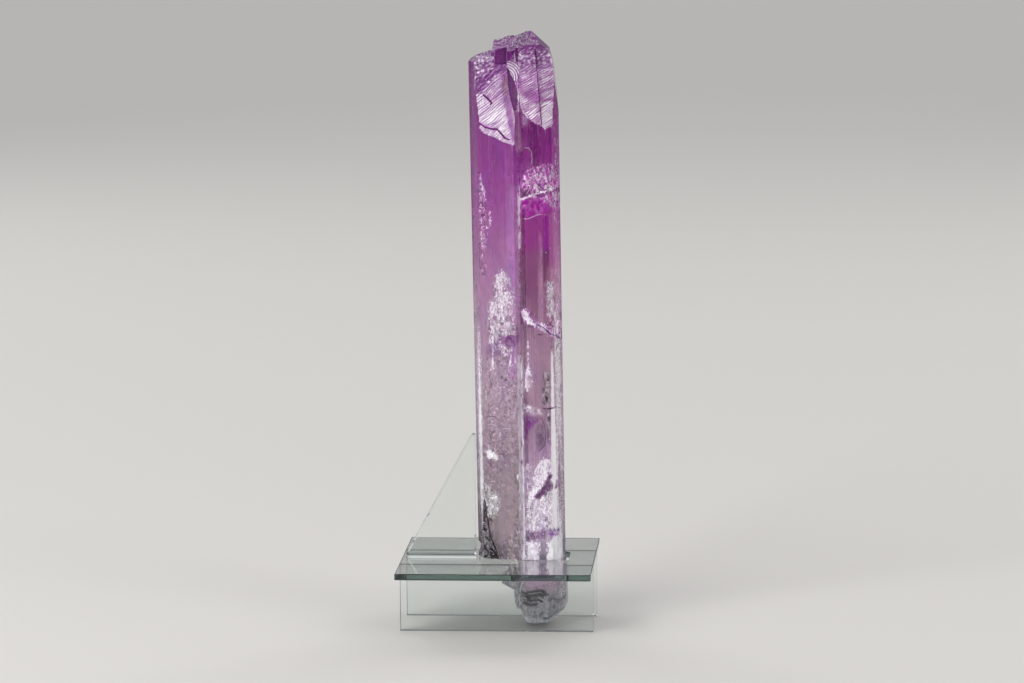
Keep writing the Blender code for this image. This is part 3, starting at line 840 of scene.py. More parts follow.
def path_distance(x, z, path):
    """How far each point lies from a path, in mm."""
    nearest = np.full(x.shape, np.inf)
    for (x0, z0), (x1, z1) in zip(path, path[1:]):
        run, rise = x1 - x0, z1 - z0
        share = np.clip(((x - x0) * run + (z - z0) * rise) / (run ** 2 + rise ** 2), 0, 1)
        nearest = np.minimum(nearest, np.hypot(x - x0 - share * run, z - z0 - share * rise))
    return nearest


def soft_step(depth, soft):
    """0 well outside, 1 well inside, and smooth over a border soft mm wide on each side."""
    share = np.clip(depth / (2 * soft) + 0.5, 0, 1)
    return share * share * (3 - 2 * share)


# %% Zones of the stone
LEFT_TINTS = (
    (0, "#A4ABAE"), (24, "#ABB3B6"), (34, "#A09294"), (45, "#A09496"), (65, "#A29299"), (80, "#AC90A1"),
    (100, "#C5AABC"), (120, "#D0B2C8"), (150, "#D2A4CC"), (165, "#CE92C7"), (185, "#C67ABF"), (205, "#C260BD"),
    (230, "#B64EB5"), (262, "#AC56AE"), (270, "#9A34A0"), (283, "#801884"),
)
RIGHT_TINTS = (
    (0, "#A4ABAE"), (10, "#A9AFB0"), (20, "#BCA6B8"), (34, "#DCC8DC"), (45, "#F0DDF2"), (62, "#E8D6EA"),
    (80, "#CAA3C8"), (95, "#B68EB0"), (110, "#BE98B3"), (135, "#C097B2"), (150, "#A87496"), (163, "#904880"),
    (178, "#964985"), (183, "#AA2A99"), (196, "#AA2A99"), (200, "#C024B4"), (206, "#C460BF"), (214, "#C664C0"),
    (224, "#A23299"), (240, "#A23299"), (262, "#AB4CA8"), (272, "#962A9A"), (283, "#7C1280"),
)
SEAM_X_MM = 1.2
# The smooth wells, the notch and then the cleft, at each x
WELL_TINTS = ((-8.1, "#B45CB4"), (-7.4, "#8B228D"), (-5.7, "#8B228D"), (-5.2, "#4B1656"), (-2.8, "#4B1656"),
              (-2.2, "#8A5496"), (-0.4, "#9A60A2"), (0.4, "#985A92"), (2.4, "#7E4A7C"))
# Zones: outline, soft border, ragged border, tint or None, frosting, crushing
ZONES_MM = {
    "left_edge_high": (((-21.6, 275), (-18.4, 275), (-18.0, 190), (-21.3, 160)), 1.0, 0.0, "#BC66B6", 0.0, 0.0),
    "brown": (((-4.6, 263.0), (-2.4, 262.0), (-2.4, 253.4), (-3.8, 253.6), (-5.0, 257.0)), 0.4, 1.0, "#9A6A5C", 0.0,
              0.3),
    # Painted highlight: the left edge bevel is painted near white and frosted
    "left_edge_painted_highlight": (((-21.6, 165), (-18.4, 150), (-17.4, 120), (-17.2, 62), (-21.4, 60)), 1.2, 0.3, "#FDFFFD",
                      0.72, 0.1),
    "blue_band": (((-2.8, 212), (1.2, 212), (0.3, 120), (-4.0, 120)), 1.6, 0.4, "#D694DA", 0.0, 0.0),
    "veil": (((-6.5, 172.4), (-3.6, 170.6), (-2.2, 167.0), (-0.6, 158.7), (-0.9, 153.9), (-0.8, 149.2),
              (-3.4, 147.4), (-13.4, 148.7), (-13.6, 156.0), (-10.8, 160.0), (-10.2, 168.3)), 1.6, 1.8, "#CFB0CB", 0.57, 0.3),
    "veil_motif": (((-6.3, 164.7), (-3.6, 165.2), (-1.9, 162.3), (-4.4, 161.8)), 0.4, 0.8, "#B070B0", -0.35, 0.1),
    "veil_foot": (((-13.4, 149.5), (-0.8, 149.5), (0.2, 141), (-1.5, 133.0), (-8, 128), (-13.2, 134.0)), 1.6, 2.6,
                  "#CCAAC8", 0.46, 0.65),
    "pinkish": (((2.6, 79.5), (5.8, 79.0), (5.6, 70.0), (3.0, 61.0)), 0.8, 1.2, "#E8CCE8", 0.34, 0.6),
    "left_spray": (((-16.8, 218), (-15.0, 217), (-13.4, 205), (-13.2, 190), (-14.8, 168), (-16.8, 172)), 0.7, 1.8, None,
                   0.20, 0.5),
    "groove_grey": (((0.9, 247), (2.4, 246), (3.6, 238), (4.4, 228), (1.0, 228)), 0.6, 0.4, "#BE98AE", 0.16, 0.1),
    "left_mottle": (((-16.8, 130), (0.6, 130), (0.6, 64), (-16.4, 64)), 3.0, 2.0, None, 0.22, 0.34),
    "left_patch": (((-8.3, 140.6), (1.0, 140.8), (1.0, 136.7), (-3.6, 134.6), (-7.7, 136.4)), 0.5, 1.2, "#8E4496",
                   -0.9, 0.3),
    "left_patch_low": (((-15.1, 135.3), (-9.0, 137.5), (-7.1, 131.4), (-13.6, 129.5)), 0.8, 1.6, "#A87CB0", -0.4, 0.2),
    "left_clump": (((-16.5, 84.6), (-12.7, 85.7), (-10.9, 84.0), (-10.2, 80.9), (-14.9, 81.5)), 0.6, 1.4, "#E8E4DA",
                   0.76, 0.6),
    "low_veil": (((-15.9, 69.7), (-11.8, 63.5), (-9.6, 64.4), (-5.0, 65.6), (-6.5, 61.0), (-8.0, 56.6), (-12.4, 53.7),
                  (-15.6, 52.8), (-17.9, 62.0)), 1.0, 2.2, "#D0D2CC", 0.42, 0.8),
    "low_glass": (((-20.4, 66), (-17.2, 62), (-16.2, 54.7), (-14.9, 46), (-11.7, 37.3), (-9.4, 32), (-21, 32)), 0.5,
                  0.4, "#181216", 0.04, 0.42),
    "low_plain": (((-8.5, 76), (0.4, 80), (0.6, 32.5), (-9.0, 32.5), (-10.5, 52)), 1.2, 1.0, "#BEAAB0", 0.05, 0.14),
    "cleft_lip": (((0.4, 261.4), (3.0, 261.4), (3.4, 252.0), (2.8, 245.6), (1.6, 246.2), (1.4, 252.0)), 0.25, 0.2,
                  "#B48CB8", 0.56, 0.1),
    "block": (((7.1, 241.9), (13.5, 239.5), (13.0, 224.0), (11.5, 222.2), (9.6, 223.1), (8.3, 226.0), (7.2, 230.7),
               (6.6, 234.9)), 0.3, 0.2, "#7E047A", 0.0, 0.0),
    "block_pale": (((3.9, 246.4), (7.0, 243.6), (7.4, 240.6), (4.6, 239.5)), 0.5, 0.6, "#C89AC6", 0.34, 0.2),
    "right_rim_high": (((15.9, 238), (22, 240), (22, 214), (15.7, 214)), 0.6, 0.2, "#A8089F", 0.0, 0.0),
    "net": (((3.1, 213.1), (7.9, 219.6), (13.8, 221.8), (22.0, 219.9), (21.8, 200.0), (15.8, 202.5), (7.7, 206.1),
             (4.0, 206.8)), 0.8, 1.6, "#E060D4", 0.22, 1.0),
    "net_dark": (((3.4, 209.3), (8.3, 210.0), (7.5, 207.0), (3.4, 205.2)), 0.3, 0.5, "#6E1E66", -0.9, 0.2),
    "net_top": (((7.0, 224.4), (12.7, 224.4), (11.5, 220.4), (8.2, 221.0)), 0.3, 0.5, "#82107C", -0.9, 0.0),
    "vivid": (((2.6, 203.6), (8.0, 205.6), (13.6, 205.9), (14.2, 198.4), (10.5, 197.8), (4.0, 196.6)), 0.4, 0.5,
              "#C402B6", -0.6, 0.22),
    "violet_strip": (((13.7, 197.6), (16.0, 197.6), (15.8, 181.1), (13.4, 181.1)), 0.2, 0.1, "#9E11A4", 0.0, 0.0),
    "violet_dark": (((13.3, 181.1), (16.0, 181.1), (15.8, 164.5), (13.1, 164.5)), 0.3, 0.3, "#702A5C", 0.0, 0.0),
    "right_rim_mid": (((16.2, 198), (22, 198), (22, 150), (16.0, 150)), 0.3, 0.2, "#CC68B6", 0.0, 0.0),
    "right_rim_fade": (((16.2, 172), (22, 172), (22, 150), (16.0, 150)), 3.0, 0.3, "#E0B0C4", 0.12, 0.1),
    "right_rim_low": (((17.6, 152), (22, 152), (21.6, 40), (17.4, 40)), 0.8, 0.5, "#F4F0EC", 0.62, 0.15),
    "light_strip": (((11.9, 190), (12.6, 176), (13.0, 162), (12.6, 147.3), (10.6, 147.3), (10.9, 162), (11.6, 176)), 0.9, 0.4,
                    "#E3AFCF", 0.14, 0.0),
    "right_glint": (((14.2, 166), (17.9, 166), (17.7, 149.8), (15.0, 149.6)), 1.0, 1.6, "#E0D4DE", 0.46, 0.6),
    "cross_edge": (((0.9, 152.4), (3.8, 155.0), (5.8, 153.0), (9.2, 147.8), (12.4, 145.4), (9.4, 143.2), (4.0, 146.4),
                    (1.8, 149.4)), 0.5, 0.8, "#B848BC", 0.0, 0.4),
    # Painted reflections: the white flash and the violet band that the slanted cross crack mirrors, painted as tinted
    # frosting
    "cross_painted_flash": (((1.7, 151.7), (3.4, 153.2), (4.7, 152.2), (6.4, 149.2), (8.9, 146.5), (10.2, 144.9), (8.6, 144.3),
                     (5.4, 146.6), (3.4, 148.4)), 0.3, 0.7, "#F0A0EC", 0.84, 0.8),
    "cross_painted_violet_flash": (((8.4, 147.6), (12.5, 146.9), (15.4, 143.9), (21.2, 138.6), (20.6, 137.0), (14.8, 140.9),
                      (9.5, 144.6)), 0.3, 0.3, "#E4A4EE", 0.56, 0.2),
    "smear": (((5.2, 133.7), (5.6, 126.5), (6.9, 122.7), (6.8, 117.9), (4.9, 114.4), (3.0, 115.1), (3.4, 124.1),
               (4.6, 126.5)), 1.6, 1.5, "#F0D0EC", 0.66, 0.4),
    "dark_mottle": (((12.4, 123.6), (15.3, 123.1), (15.2, 107.3), (11.9, 107.4)), 1.0, 1.8, "#584450", 0.24, 0.9),
    "right_pale": (((2.9, 107.9), (4.7, 107.4), (10.4, 105.5), (12.2, 102.9), (9.4, 102.4), (2.8, 104.2)), 0.5, 0.8,
                   "#DCC8D8", 0.35, 0.4),
    "right_patch": (((2.3, 102.0), (10.8, 101.4), (8.8, 99.0), (5.5, 95.9), (4.0, 92.1), (3.0, 89.2), (2.4, 93.1)),
                    0.35, 0.6, "#7B1683", -0.9, 0.15),
    "arc_inside": (((8.4, 98.8), (11.9, 98.3), (12.6, 93.0), (12.0, 88.4), (9.1, 85.4), (8.0, 88.2)), 0.7, 0.6,
                   "#745672", 0.0, 0.2),
    "dark_band": (((13.5, 104.5), (15.2, 104.5), (15.0, 88.2), (13.2, 92.0)), 0.7, 0.8, "#7E6A80", 0.0, 0.5),
    # Painted highlight: the white strip down the narrow bevel on the right is the mirror image of a lamp, painted as
    # solid frosting
    "bevel_painted_highlight": (((15.9, 131), (16.3, 133.5), (16.9, 131), (17.4, 104), (17.6, 80), (17.5, 34), (15.2, 34), (15.3, 80),
                      (15.6, 104)), 0.25, 0.1, "#FFFFFF", 1.0, 0.0),
    "right_frost_high": (((9.0, 79.6), (11.9, 83.0), (15.2, 81.0), (14.6, 74.3), (11.6, 69.5), (8.7, 64.2),
                          (7.7, 61.8), (3.4, 61.4), (5.9, 67.6), (6.5, 74.8)), 0.5, 1.3, None, 0.80, 0.4),
    "right_frost": (((3.0, 62.4), (7.7, 62.8), (15.2, 66.6), (15.4, 47.8), (2.7, 46.9)), 0.5, 1.0, None, 0.54, 0.7),
    "flag": (((14.1, 74.6), (15.6, 74.0), (14.9, 70.9), (15.9, 69.5), (15.7, 67.2), (12.5, 65.1), (8.7, 61.8),
              (6.8, 63.8), (9.2, 65.6), (11.6, 69.0), (13.1, 72.4)), 0.2, 0.4, "#4E1456", -1.0, 0.25),
    "flag_small": (((17.4, 70.9), (19.7, 69.4), (18.7, 67.5), (16.8, 67.0)), 0.3, 0.4, "#8E4C94", -0.9, 0.2),
    "low_band": (((3.0, 46.2), (7.0, 46.4), (10.3, 48.0), (12.2, 47.3), (12.1, 43.5), (3.1, 42.4)), 0.4, 0.6,
                 "#8E5E92", -0.6, 0.4),
    "violet_spot": (((13.4, 47.6), (18.9, 47.5), (18.3, 44.6), (14.3, 43.3)), 0.4, 0.9, "#8A3AAA", -0.6, 0.9),
    "low_bright": (((2.6, 41.6), (9.3, 41.6), (9.0, 32.5), (2.3, 32.5)), 0.8, 1.0, "#FAE5FE", 0.76, 0.5),
    "low_bright_side": (((13.1, 41.5), (19.7, 43.0), (19.4, 32.5), (12.8, 32.5)), 0.6, 1.0, "#FFFFFF", 1.0, 0.3),
    "foot": (((-14, 28), (23, 28), (23, -1), (-14, -1)), 1.5, 0.6, None, 0.32, 0.45),
    "foot_pink": (((1.0, 25.0), (16.9, 25.0), (16.0, 18.0), (11.2, 18.6), (2.5, 18.4)), 0.8, 0.6, "#E8B4DA", 0.12,
                  0.25),
    "foot_dark": (((-0.4, 17.6), (5.3, 17.8), (9.8, 18.2), (12.6, 15.6), (10.4, 12.4), (5.9, 11.2), (0.4, 12.4)),
                  0.5, 1.2, "#4C5052", 0.16, 0.9),
    "foot_crumble": (((6.4, 14.4), (11.6, 14.6), (13.4, 10.4), (12.6, 7.0), (9.0, 7.4), (7.4, 10.6)), 0.6, 1.2,
                     "#CCD0CE", 0.74, 0.9),
    "foot_glass": (((2.4, 10.6), (7.0, 10.4), (9.0, 7.2), (9.6, 3.6), (2.4, 3.4)), 0.7, 0.4, "#C6CECE", 0.46, 0.05),
    "foot_blot": (((14.8, 12.6), (18.2, 12.0), (19.6, 9.2), (16.4, 6.8), (14.2, 8.4)), 0.9, 0.8, "#9CA6A6", 0.36,
                  0.4),
    "foot_base": (((9.6, 6.4), (16.0, 6.2), (13.0, 2.4), (9.0, 2.6)), 0.9, 0.9, "#80878A", 0.24, 0.6),
}
# Paths of white splinters and of painted highlight lines: points and half width in mm, frosting
SPLINTERS_MM = {
    "groove_high": (((1.9, 228), (2.0, 210)), 0.35, 0.40),
    # Painted highlights: white lines down the wall of the groove between the crystals
    "groove_cream_painted_highlight": (((2.0, 211), (1.9, 196), (1.7, 182)), 0.70, 1.0),
    "groove_mid_painted_highlight": (((1.7, 182), (1.3, 150)), 0.55, 0.62),
    "groove_low_painted_highlight": (((1.1, 130), (1.0, 100), (0.9, 34)), 1.15, 1.0),
    "left_streak": (((-15.8, 217), (-15.9, 207), (-16.2, 186)), 0.6, 0.48),
    "left_streak_inner": (((-14.9, 212.1), (-14.2, 200.3)), 0.7, 0.50),
    "left_streak_low": (((-11.6, 199.6), (-11.3, 192.6)), 0.5, 0.55),
    # Painted highlights: white lines down the left edge bevel
    "left_line_painted_highlight": (((-18.0, 150), (-17.7, 118)), 0.50, 0.55),
    "left_line_low_painted_highlight": (((-18.9, 122), (-18.7, 90), (-18.5, 60)), 1.1, 0.92),
    "streak_a": (((-11.5, 140.6), (-11.4, 132), (-11.3, 125.2)), 0.5, 0.75),
    "fork_left": (((-2.3, 136.1), (-2.9, 131.4), (-3.4, 126.8), (-1.6, 125.1), (-0.2, 127.0)), 0.40, 0.75),
    "fork_right": (((-2.6, 133.4), (-1.2, 131.0), (-0.6, 127.4)), 0.35, 0.6),
    "smear_tail": (((5.2, 138.0), (5.3, 129.0)), 0.35, 0.6),
    "low_flash": (((-0.8, 73.9), (-0.4, 70.5)), 0.45, 1.0),
    "net_main": (((2.2, 204.6), (7.7, 206.9), (10.6, 208.1), (14.8, 208.9), (18.3, 210.1), (21.4, 211.6)), 0.45, 0.95),
    "net_slant": (((4.3, 212.2), (7.8, 215.1), (11.4, 217.5), (12.6, 221.0)), 0.45, 0.66),
    "net_right": (((14.0, 220.0), (16.0, 213.0), (18.6, 206.6), (20.8, 203.4)), 0.45, 0.62),
    "net_low": (((14.8, 208.6), (15.8, 203.8), (19.6, 201.0), (21.4, 201.8)), 0.45, 0.6),
    "second": (((3.8, 196.4), (6.3, 196.1), (11.1, 198.1), (20.5, 198.2)), 0.35, 0.42),
    "spark_low": (((15.2, 41.0), (15.4, 36.0)), 0.8, 1.0),
    "foot_flute": (((19.6, 22.0), (19.4, 15.6)), 0.5, 0.45),
    "lip_left": (((-15.6, 238.8), (-9.9, 236.2), (-4.3, 233.0), (-2.9, 232.4), (0.4, 231.2)), 0.7, 1.0),
    "lip_right": (((2.6, 253.4), (4.4, 248.2), (6.2, 245.6), (8.4, 243.0), (11.4, 241.4), (13.2, 240.4)), 0.7, 0.9),
    "lip_side": (((14.2, 240.0), (15.4, 239.4), (17.4, 239.6), (19.4, 242.0)), 0.7, 1.0),
    "foot_line": (((-1.3, 17.6), (-1.4, 8.7)), 0.6, 0.85),
    "foot_line_inner": (((0.2, 12.6), (0.3, 5.0)), 0.6, 0.85),
    "foot_line_right": (((2.0, 10.8), (1.7, 6.0)), 0.55, 0.75),
}


def noise_at(places, size_mm, offset):
    """Noise at each place, about -1 to 1."""
    shift = Vector((offset, offset * 0.7, -offset))
    return np.array([noise.noise(Vector(place) / size_mm + shift) for place in places])


def tint_ramp(z, stops):
    """The tint at each height, in linear numbers."""
    heights = [height for height, _ in stops]
    colours = np.array([linear(colour)[:3] for _, colour in stops])
    return np.stack([np.interp(z, heights, colours[:, channel]) for channel in range(3)], axis=1)


# How white the etched fields are: outline, soft border, whiteness, with later ones over earlier ones
ETCH_ZONES_MM = {
    "left_field": (((-18.5, 263), (-2, 265), (2.8, 229), (-18.5, 233)), 0.8, 0.90),
    "left_bright": (((-13, 248), (-5.0, 253), (-1.6, 244), (0.4, 231), (-6, 235), (-13, 239)), 1.6, 1.00),
    "left_upper": (((-13, 262.8), (-5, 263.8), (-4.4, 254), (-10, 250.6), (-13.8, 255)), 1.0, 0.72),
    "left_band": (((-4.4, 262), (-1.0, 261), (-0.3, 246.7), (2.2, 236.8), (1.6, 230.8), (-0.6, 233.5), (-3.0, 244.4),
                   (-4.2, 252)), 0.6, 0.42),
    "left_rim": (((-0.8, 246.8), (0.7, 247.2), (2.2, 238), (1.8, 231), (0.9, 235.0), (0.4, 241)), 0.3, 0.90),
    "left_wedge": (((-18.4, 261.4), (-13.5, 262.7), (-7.2, 266.5), (-6.9, 264.4), (-12.6, 259.8), (-14.6, 254.9),
                    (-18.4, 254.6)), 0.35, 0.06),
    "left_swirl": (((-18.4, 272), (-8.3, 272), (-8.2, 266.6), (-13.4, 263.0), (-18.4, 261.8)), 0.5, 0.70),
    "under_notch": (((-8.1, 268.7), (-2.2, 268.7), (-2.8, 260), (-5.2, 263.0), (-7.8, 265.4)), 0.6, 0.26),
    "brown": (((-4.6, 263.0), (-2.2, 262.0), (-2.2, 253.4), (-3.8, 253.6), (-5.0, 257.0)), 0.5, 0.12),
    "right_upper": (((1.5, 275), (12.5, 276), (13.2, 255), (4, 256)), 2.0, 0.66),
    "right_lower": (((2.0, 256), (13.0, 250), (13.8, 238), (8, 239), (1.5, 250)), 3.0, 0.84),
    "side_upper": (((12.0, 276), (24, 276), (24, 251), (13, 252)), 1.5, 0.74),
    "cleft_rim": (((0.4, 261.0), (3.0, 261.0), (3.2, 252), (2.6, 246.5), (2.0, 252), (1.2, 257)), 0.25, 0.50),
    "side_lower": (((13.0, 251.5), (18.6, 251.0), (20.8, 243.5), (18, 237), (13.6, 237)), 1.0, 0.94),
}
ETCH_ELSEWHERE = 0.06
DASH_LENGTH_MM = 4.5
DASH_WIDTH_MM = 0.8


def etch_frost(places):
    """How white each etched point is, brightest on the crests of the ridges, with dashes along them."""
    x, _, z = places.T
    level = np.full(len(x), ETCH_ELSEWHERE)
    for outline, soft, whiteness in ETCH_ZONES_MM.values():
        level += (whiteness - level) * soft_step(outline_depth(x, z, outline), soft)
    crests = np.empty(len(x))
    for index, (u, v) in enumerate(zip(x * MM, z * MM)):
        angle = LEFT_RIDGE_ANGLE if u < 1.2 * MM else RIGHT_RIDGE_ANGLE
        along = (u * math.cos(angle) + v * math.sin(angle)) / MM
        across = (v * math.cos(angle) - u * math.sin(angle)) / MM
        dash = noise.noise(Vector((along / DASH_LENGTH_MM, across / DASH_WIDTH_MM, 0.5)))
        share = swirled(u, v)
        lines = 0.10 + 0.95 * ridge(u, v, angle, RIDGE_SPACING) ** 0.65 + 0.50 * dash
        place = Vector((u, v, 0.0)) / BUMP_SIZE
        spots = 0.62 + 0.9 * noise.noise(place) + 0.7 * noise.noise(place * 2.3)
        crests[index] = lines * (1 - share) + spots * share
    arcs = np.cos(np.hypot(x - CRESCENT_CENTRE.x / MM, z - CRESCENT_CENTRE.y / MM) / (CRESCENT_STEP / MM) * math.tau)
    shell = soft_step(outline_depth(x, z, CRESCENT_MM), 0.2)
    frost = level * crests
    return np.clip(frost + (0.70 + 0.55 * arcs - frost) * shell, 0, 1)


# %% Paint the stone
def paint_stone():
    """Write the tint, the frosting and the crushing at each corner, and the finish of each face."""
    mesh = kunzite.data
    count = len(mesh.vertices)
    places = np.empty(count * 3)
    mesh.vertices.foreach_get("co", places)
    places = places.reshape(count, 3)
    back = np.array(UPRIGHT_TO_WORLD.inverted())
    places = (places @ back[:3, :3].T + back[:3, 3]) / MM
    x, y, z = places.T

    fine = noise_at(places, 1.1, 3.0) + 0.5 * noise_at(places, 0.5, 9.0)
    broad = noise_at(places, 4.5, 17.0)
    left = tint_ramp(z + 4 * broad, LEFT_TINTS)
    right = tint_ramp(z + 3 * broad, RIGHT_TINTS)
    share = soft_step(x - SEAM_X_MM, 0.5)[:, None]
    tint = left * (1 - share) + right * share
    frost = np.zeros(count)
    crush = np.zeros(count)
    front = soft_step(-3.8 - y, 2.0)
    through = 0.35 + 0.65 * front
    for outline, soft, ragged, colour, frosting, crushing in ZONES_MM.values():
        depth = outline_depth(x, z, outline) + ragged * fine
        inside = soft_step(depth, soft) * through
        if colour:
            tint += (np.array(linear(colour)[:3]) - tint) * inside[:, None]
        frost += (frosting - frost) * inside if frosting > 0 else frosting * frost * inside
        crush += (crushing - crush) * inside
    dashes = np.clip(0.95 + 0.9 * noise_at(places * (1.0, 1.0, 0.4), 1.3, 31.0), 0.3, 1.2)
    for path, half_width, frosting in SPLINTERS_MM.values():
        near = soft_step(half_width - path_distance(x, z, path) + 0.30 * fine, 0.3) * front
        frost = np.maximum(frost, near * frosting * dashes)
    frost = np.clip(frost, 0, 1)

    numbers = face_numbers(mesh)
    etched = np.zeros(count, dtype=bool)
    well = np.zeros(count, dtype=bool)
    for face in mesh.polygons:
        if face.material_index == ETCHED:
            etched[list(face.vertices)] = True
        elif face.material_index == WELL:
            well[list(face.vertices)] = True
    frost[etched] = np.maximum(frost[etched] * 0.5, etch_frost(places[etched]))
    frost[well & ~etched] = 0.0
    tint[well] = tint_ramp(x[well], WELL_TINTS)

    colours = mesh.attributes.new("tint", "FLOAT_COLOR", "POINT")
    colours.data.foreach_set("color", np.column_stack([tint, np.ones(count)]).ravel())
    for name, values in (("frost", frost), ("crush", crush)):
        mesh.attributes.new(name, "FLOAT", "POINT").data.foreach_set("value", values)
    for number, name in enumerate(FINISHES):
        if number != GROWN:
            mesh.attributes.new(name, "FLOAT", "FACE").data.foreach_set("value", (numbers == number) * 1.0)
    print("painted", count, "corners; mean frosting", round(float(frost.mean()), 3))


paint_stone()

# %% [markdown]
# ## Kunzite
#
# Kunzite is the lilac gem form of spodumene, coloured by manganese. It is glassy, with a refractive index of about
# 1.66, and its colour is deepest near the top, where the crystal grew last. The shader is glass: almost full
# transmission and a pale absorption inside. Etched, frosted and broken parts scatter, so they pass less light, and
# they are rough and white. Crushed parts are mosaics of tiny facets, each tilted its own way.

# %% Helpers for node trees
def maths(tree, operation, *values, clamp=False):
    """A Math node's result."""
    return add(tree, "Math", dict(enumerate(values)), operation=operation, use_clamp=clamp).outputs[0]


def vector_maths(tree, operation, *values):
    """A Vector Math node's result."""
    return add(tree, "VectorMath", dict(enumerate(values)), operation=operation).outputs[0]


def remap(tree, value, low, high, to_low=0.0, to_high=1.0):
    """Map a range of values smoothly to another range."""
    node = add(tree, "MapRange", {"Value": value, "From Min": low, "From Max": high, "To Min": to_low,
                                  "To Max": to_high}, interpolation_type="SMOOTHSTEP")
    return node.outputs["Result"]


def mix_colour(tree, share, first, second, blend="MIX"):
    """A colour mix."""
    return add(tree, "Mix", {0: share, 6: first, 7: second}, data_type="RGBA", blend_type=blend).outputs[2]


def grain(tree, place, size_mm, detail=3.0, roughness=0.6):
    """Noise with grains of a given size in mm along x, y and z."""
    scaled = vector_maths(tree, "DIVIDE", place, tuple(size * MM for size in size_mm))
    return add(tree, "TexNoise", {"Vector": scaled, "Scale": 1.0, "Detail": detail, "Roughness": roughness}).outputs[0]


# %% The kunzite material
KUNZITE_IOR = 1.66
KUNZITE_ABSORPTION = "#E6C8EA"
ABSORPTION_PER_METRE = 9.0
FROST_COLOUR = "#FDF9FE"
FROST_SHADE = "#B8A6BE"
BLUE_CLOUD = "#ECEAFF"
GLOSS_SHARE = 0.5
ETCHED_COLOUR = "#BFA6CC"
AIR_COLOUR = "#FDF8FE"
DEEP_SHADE = 0.30
HAZE = 0.09


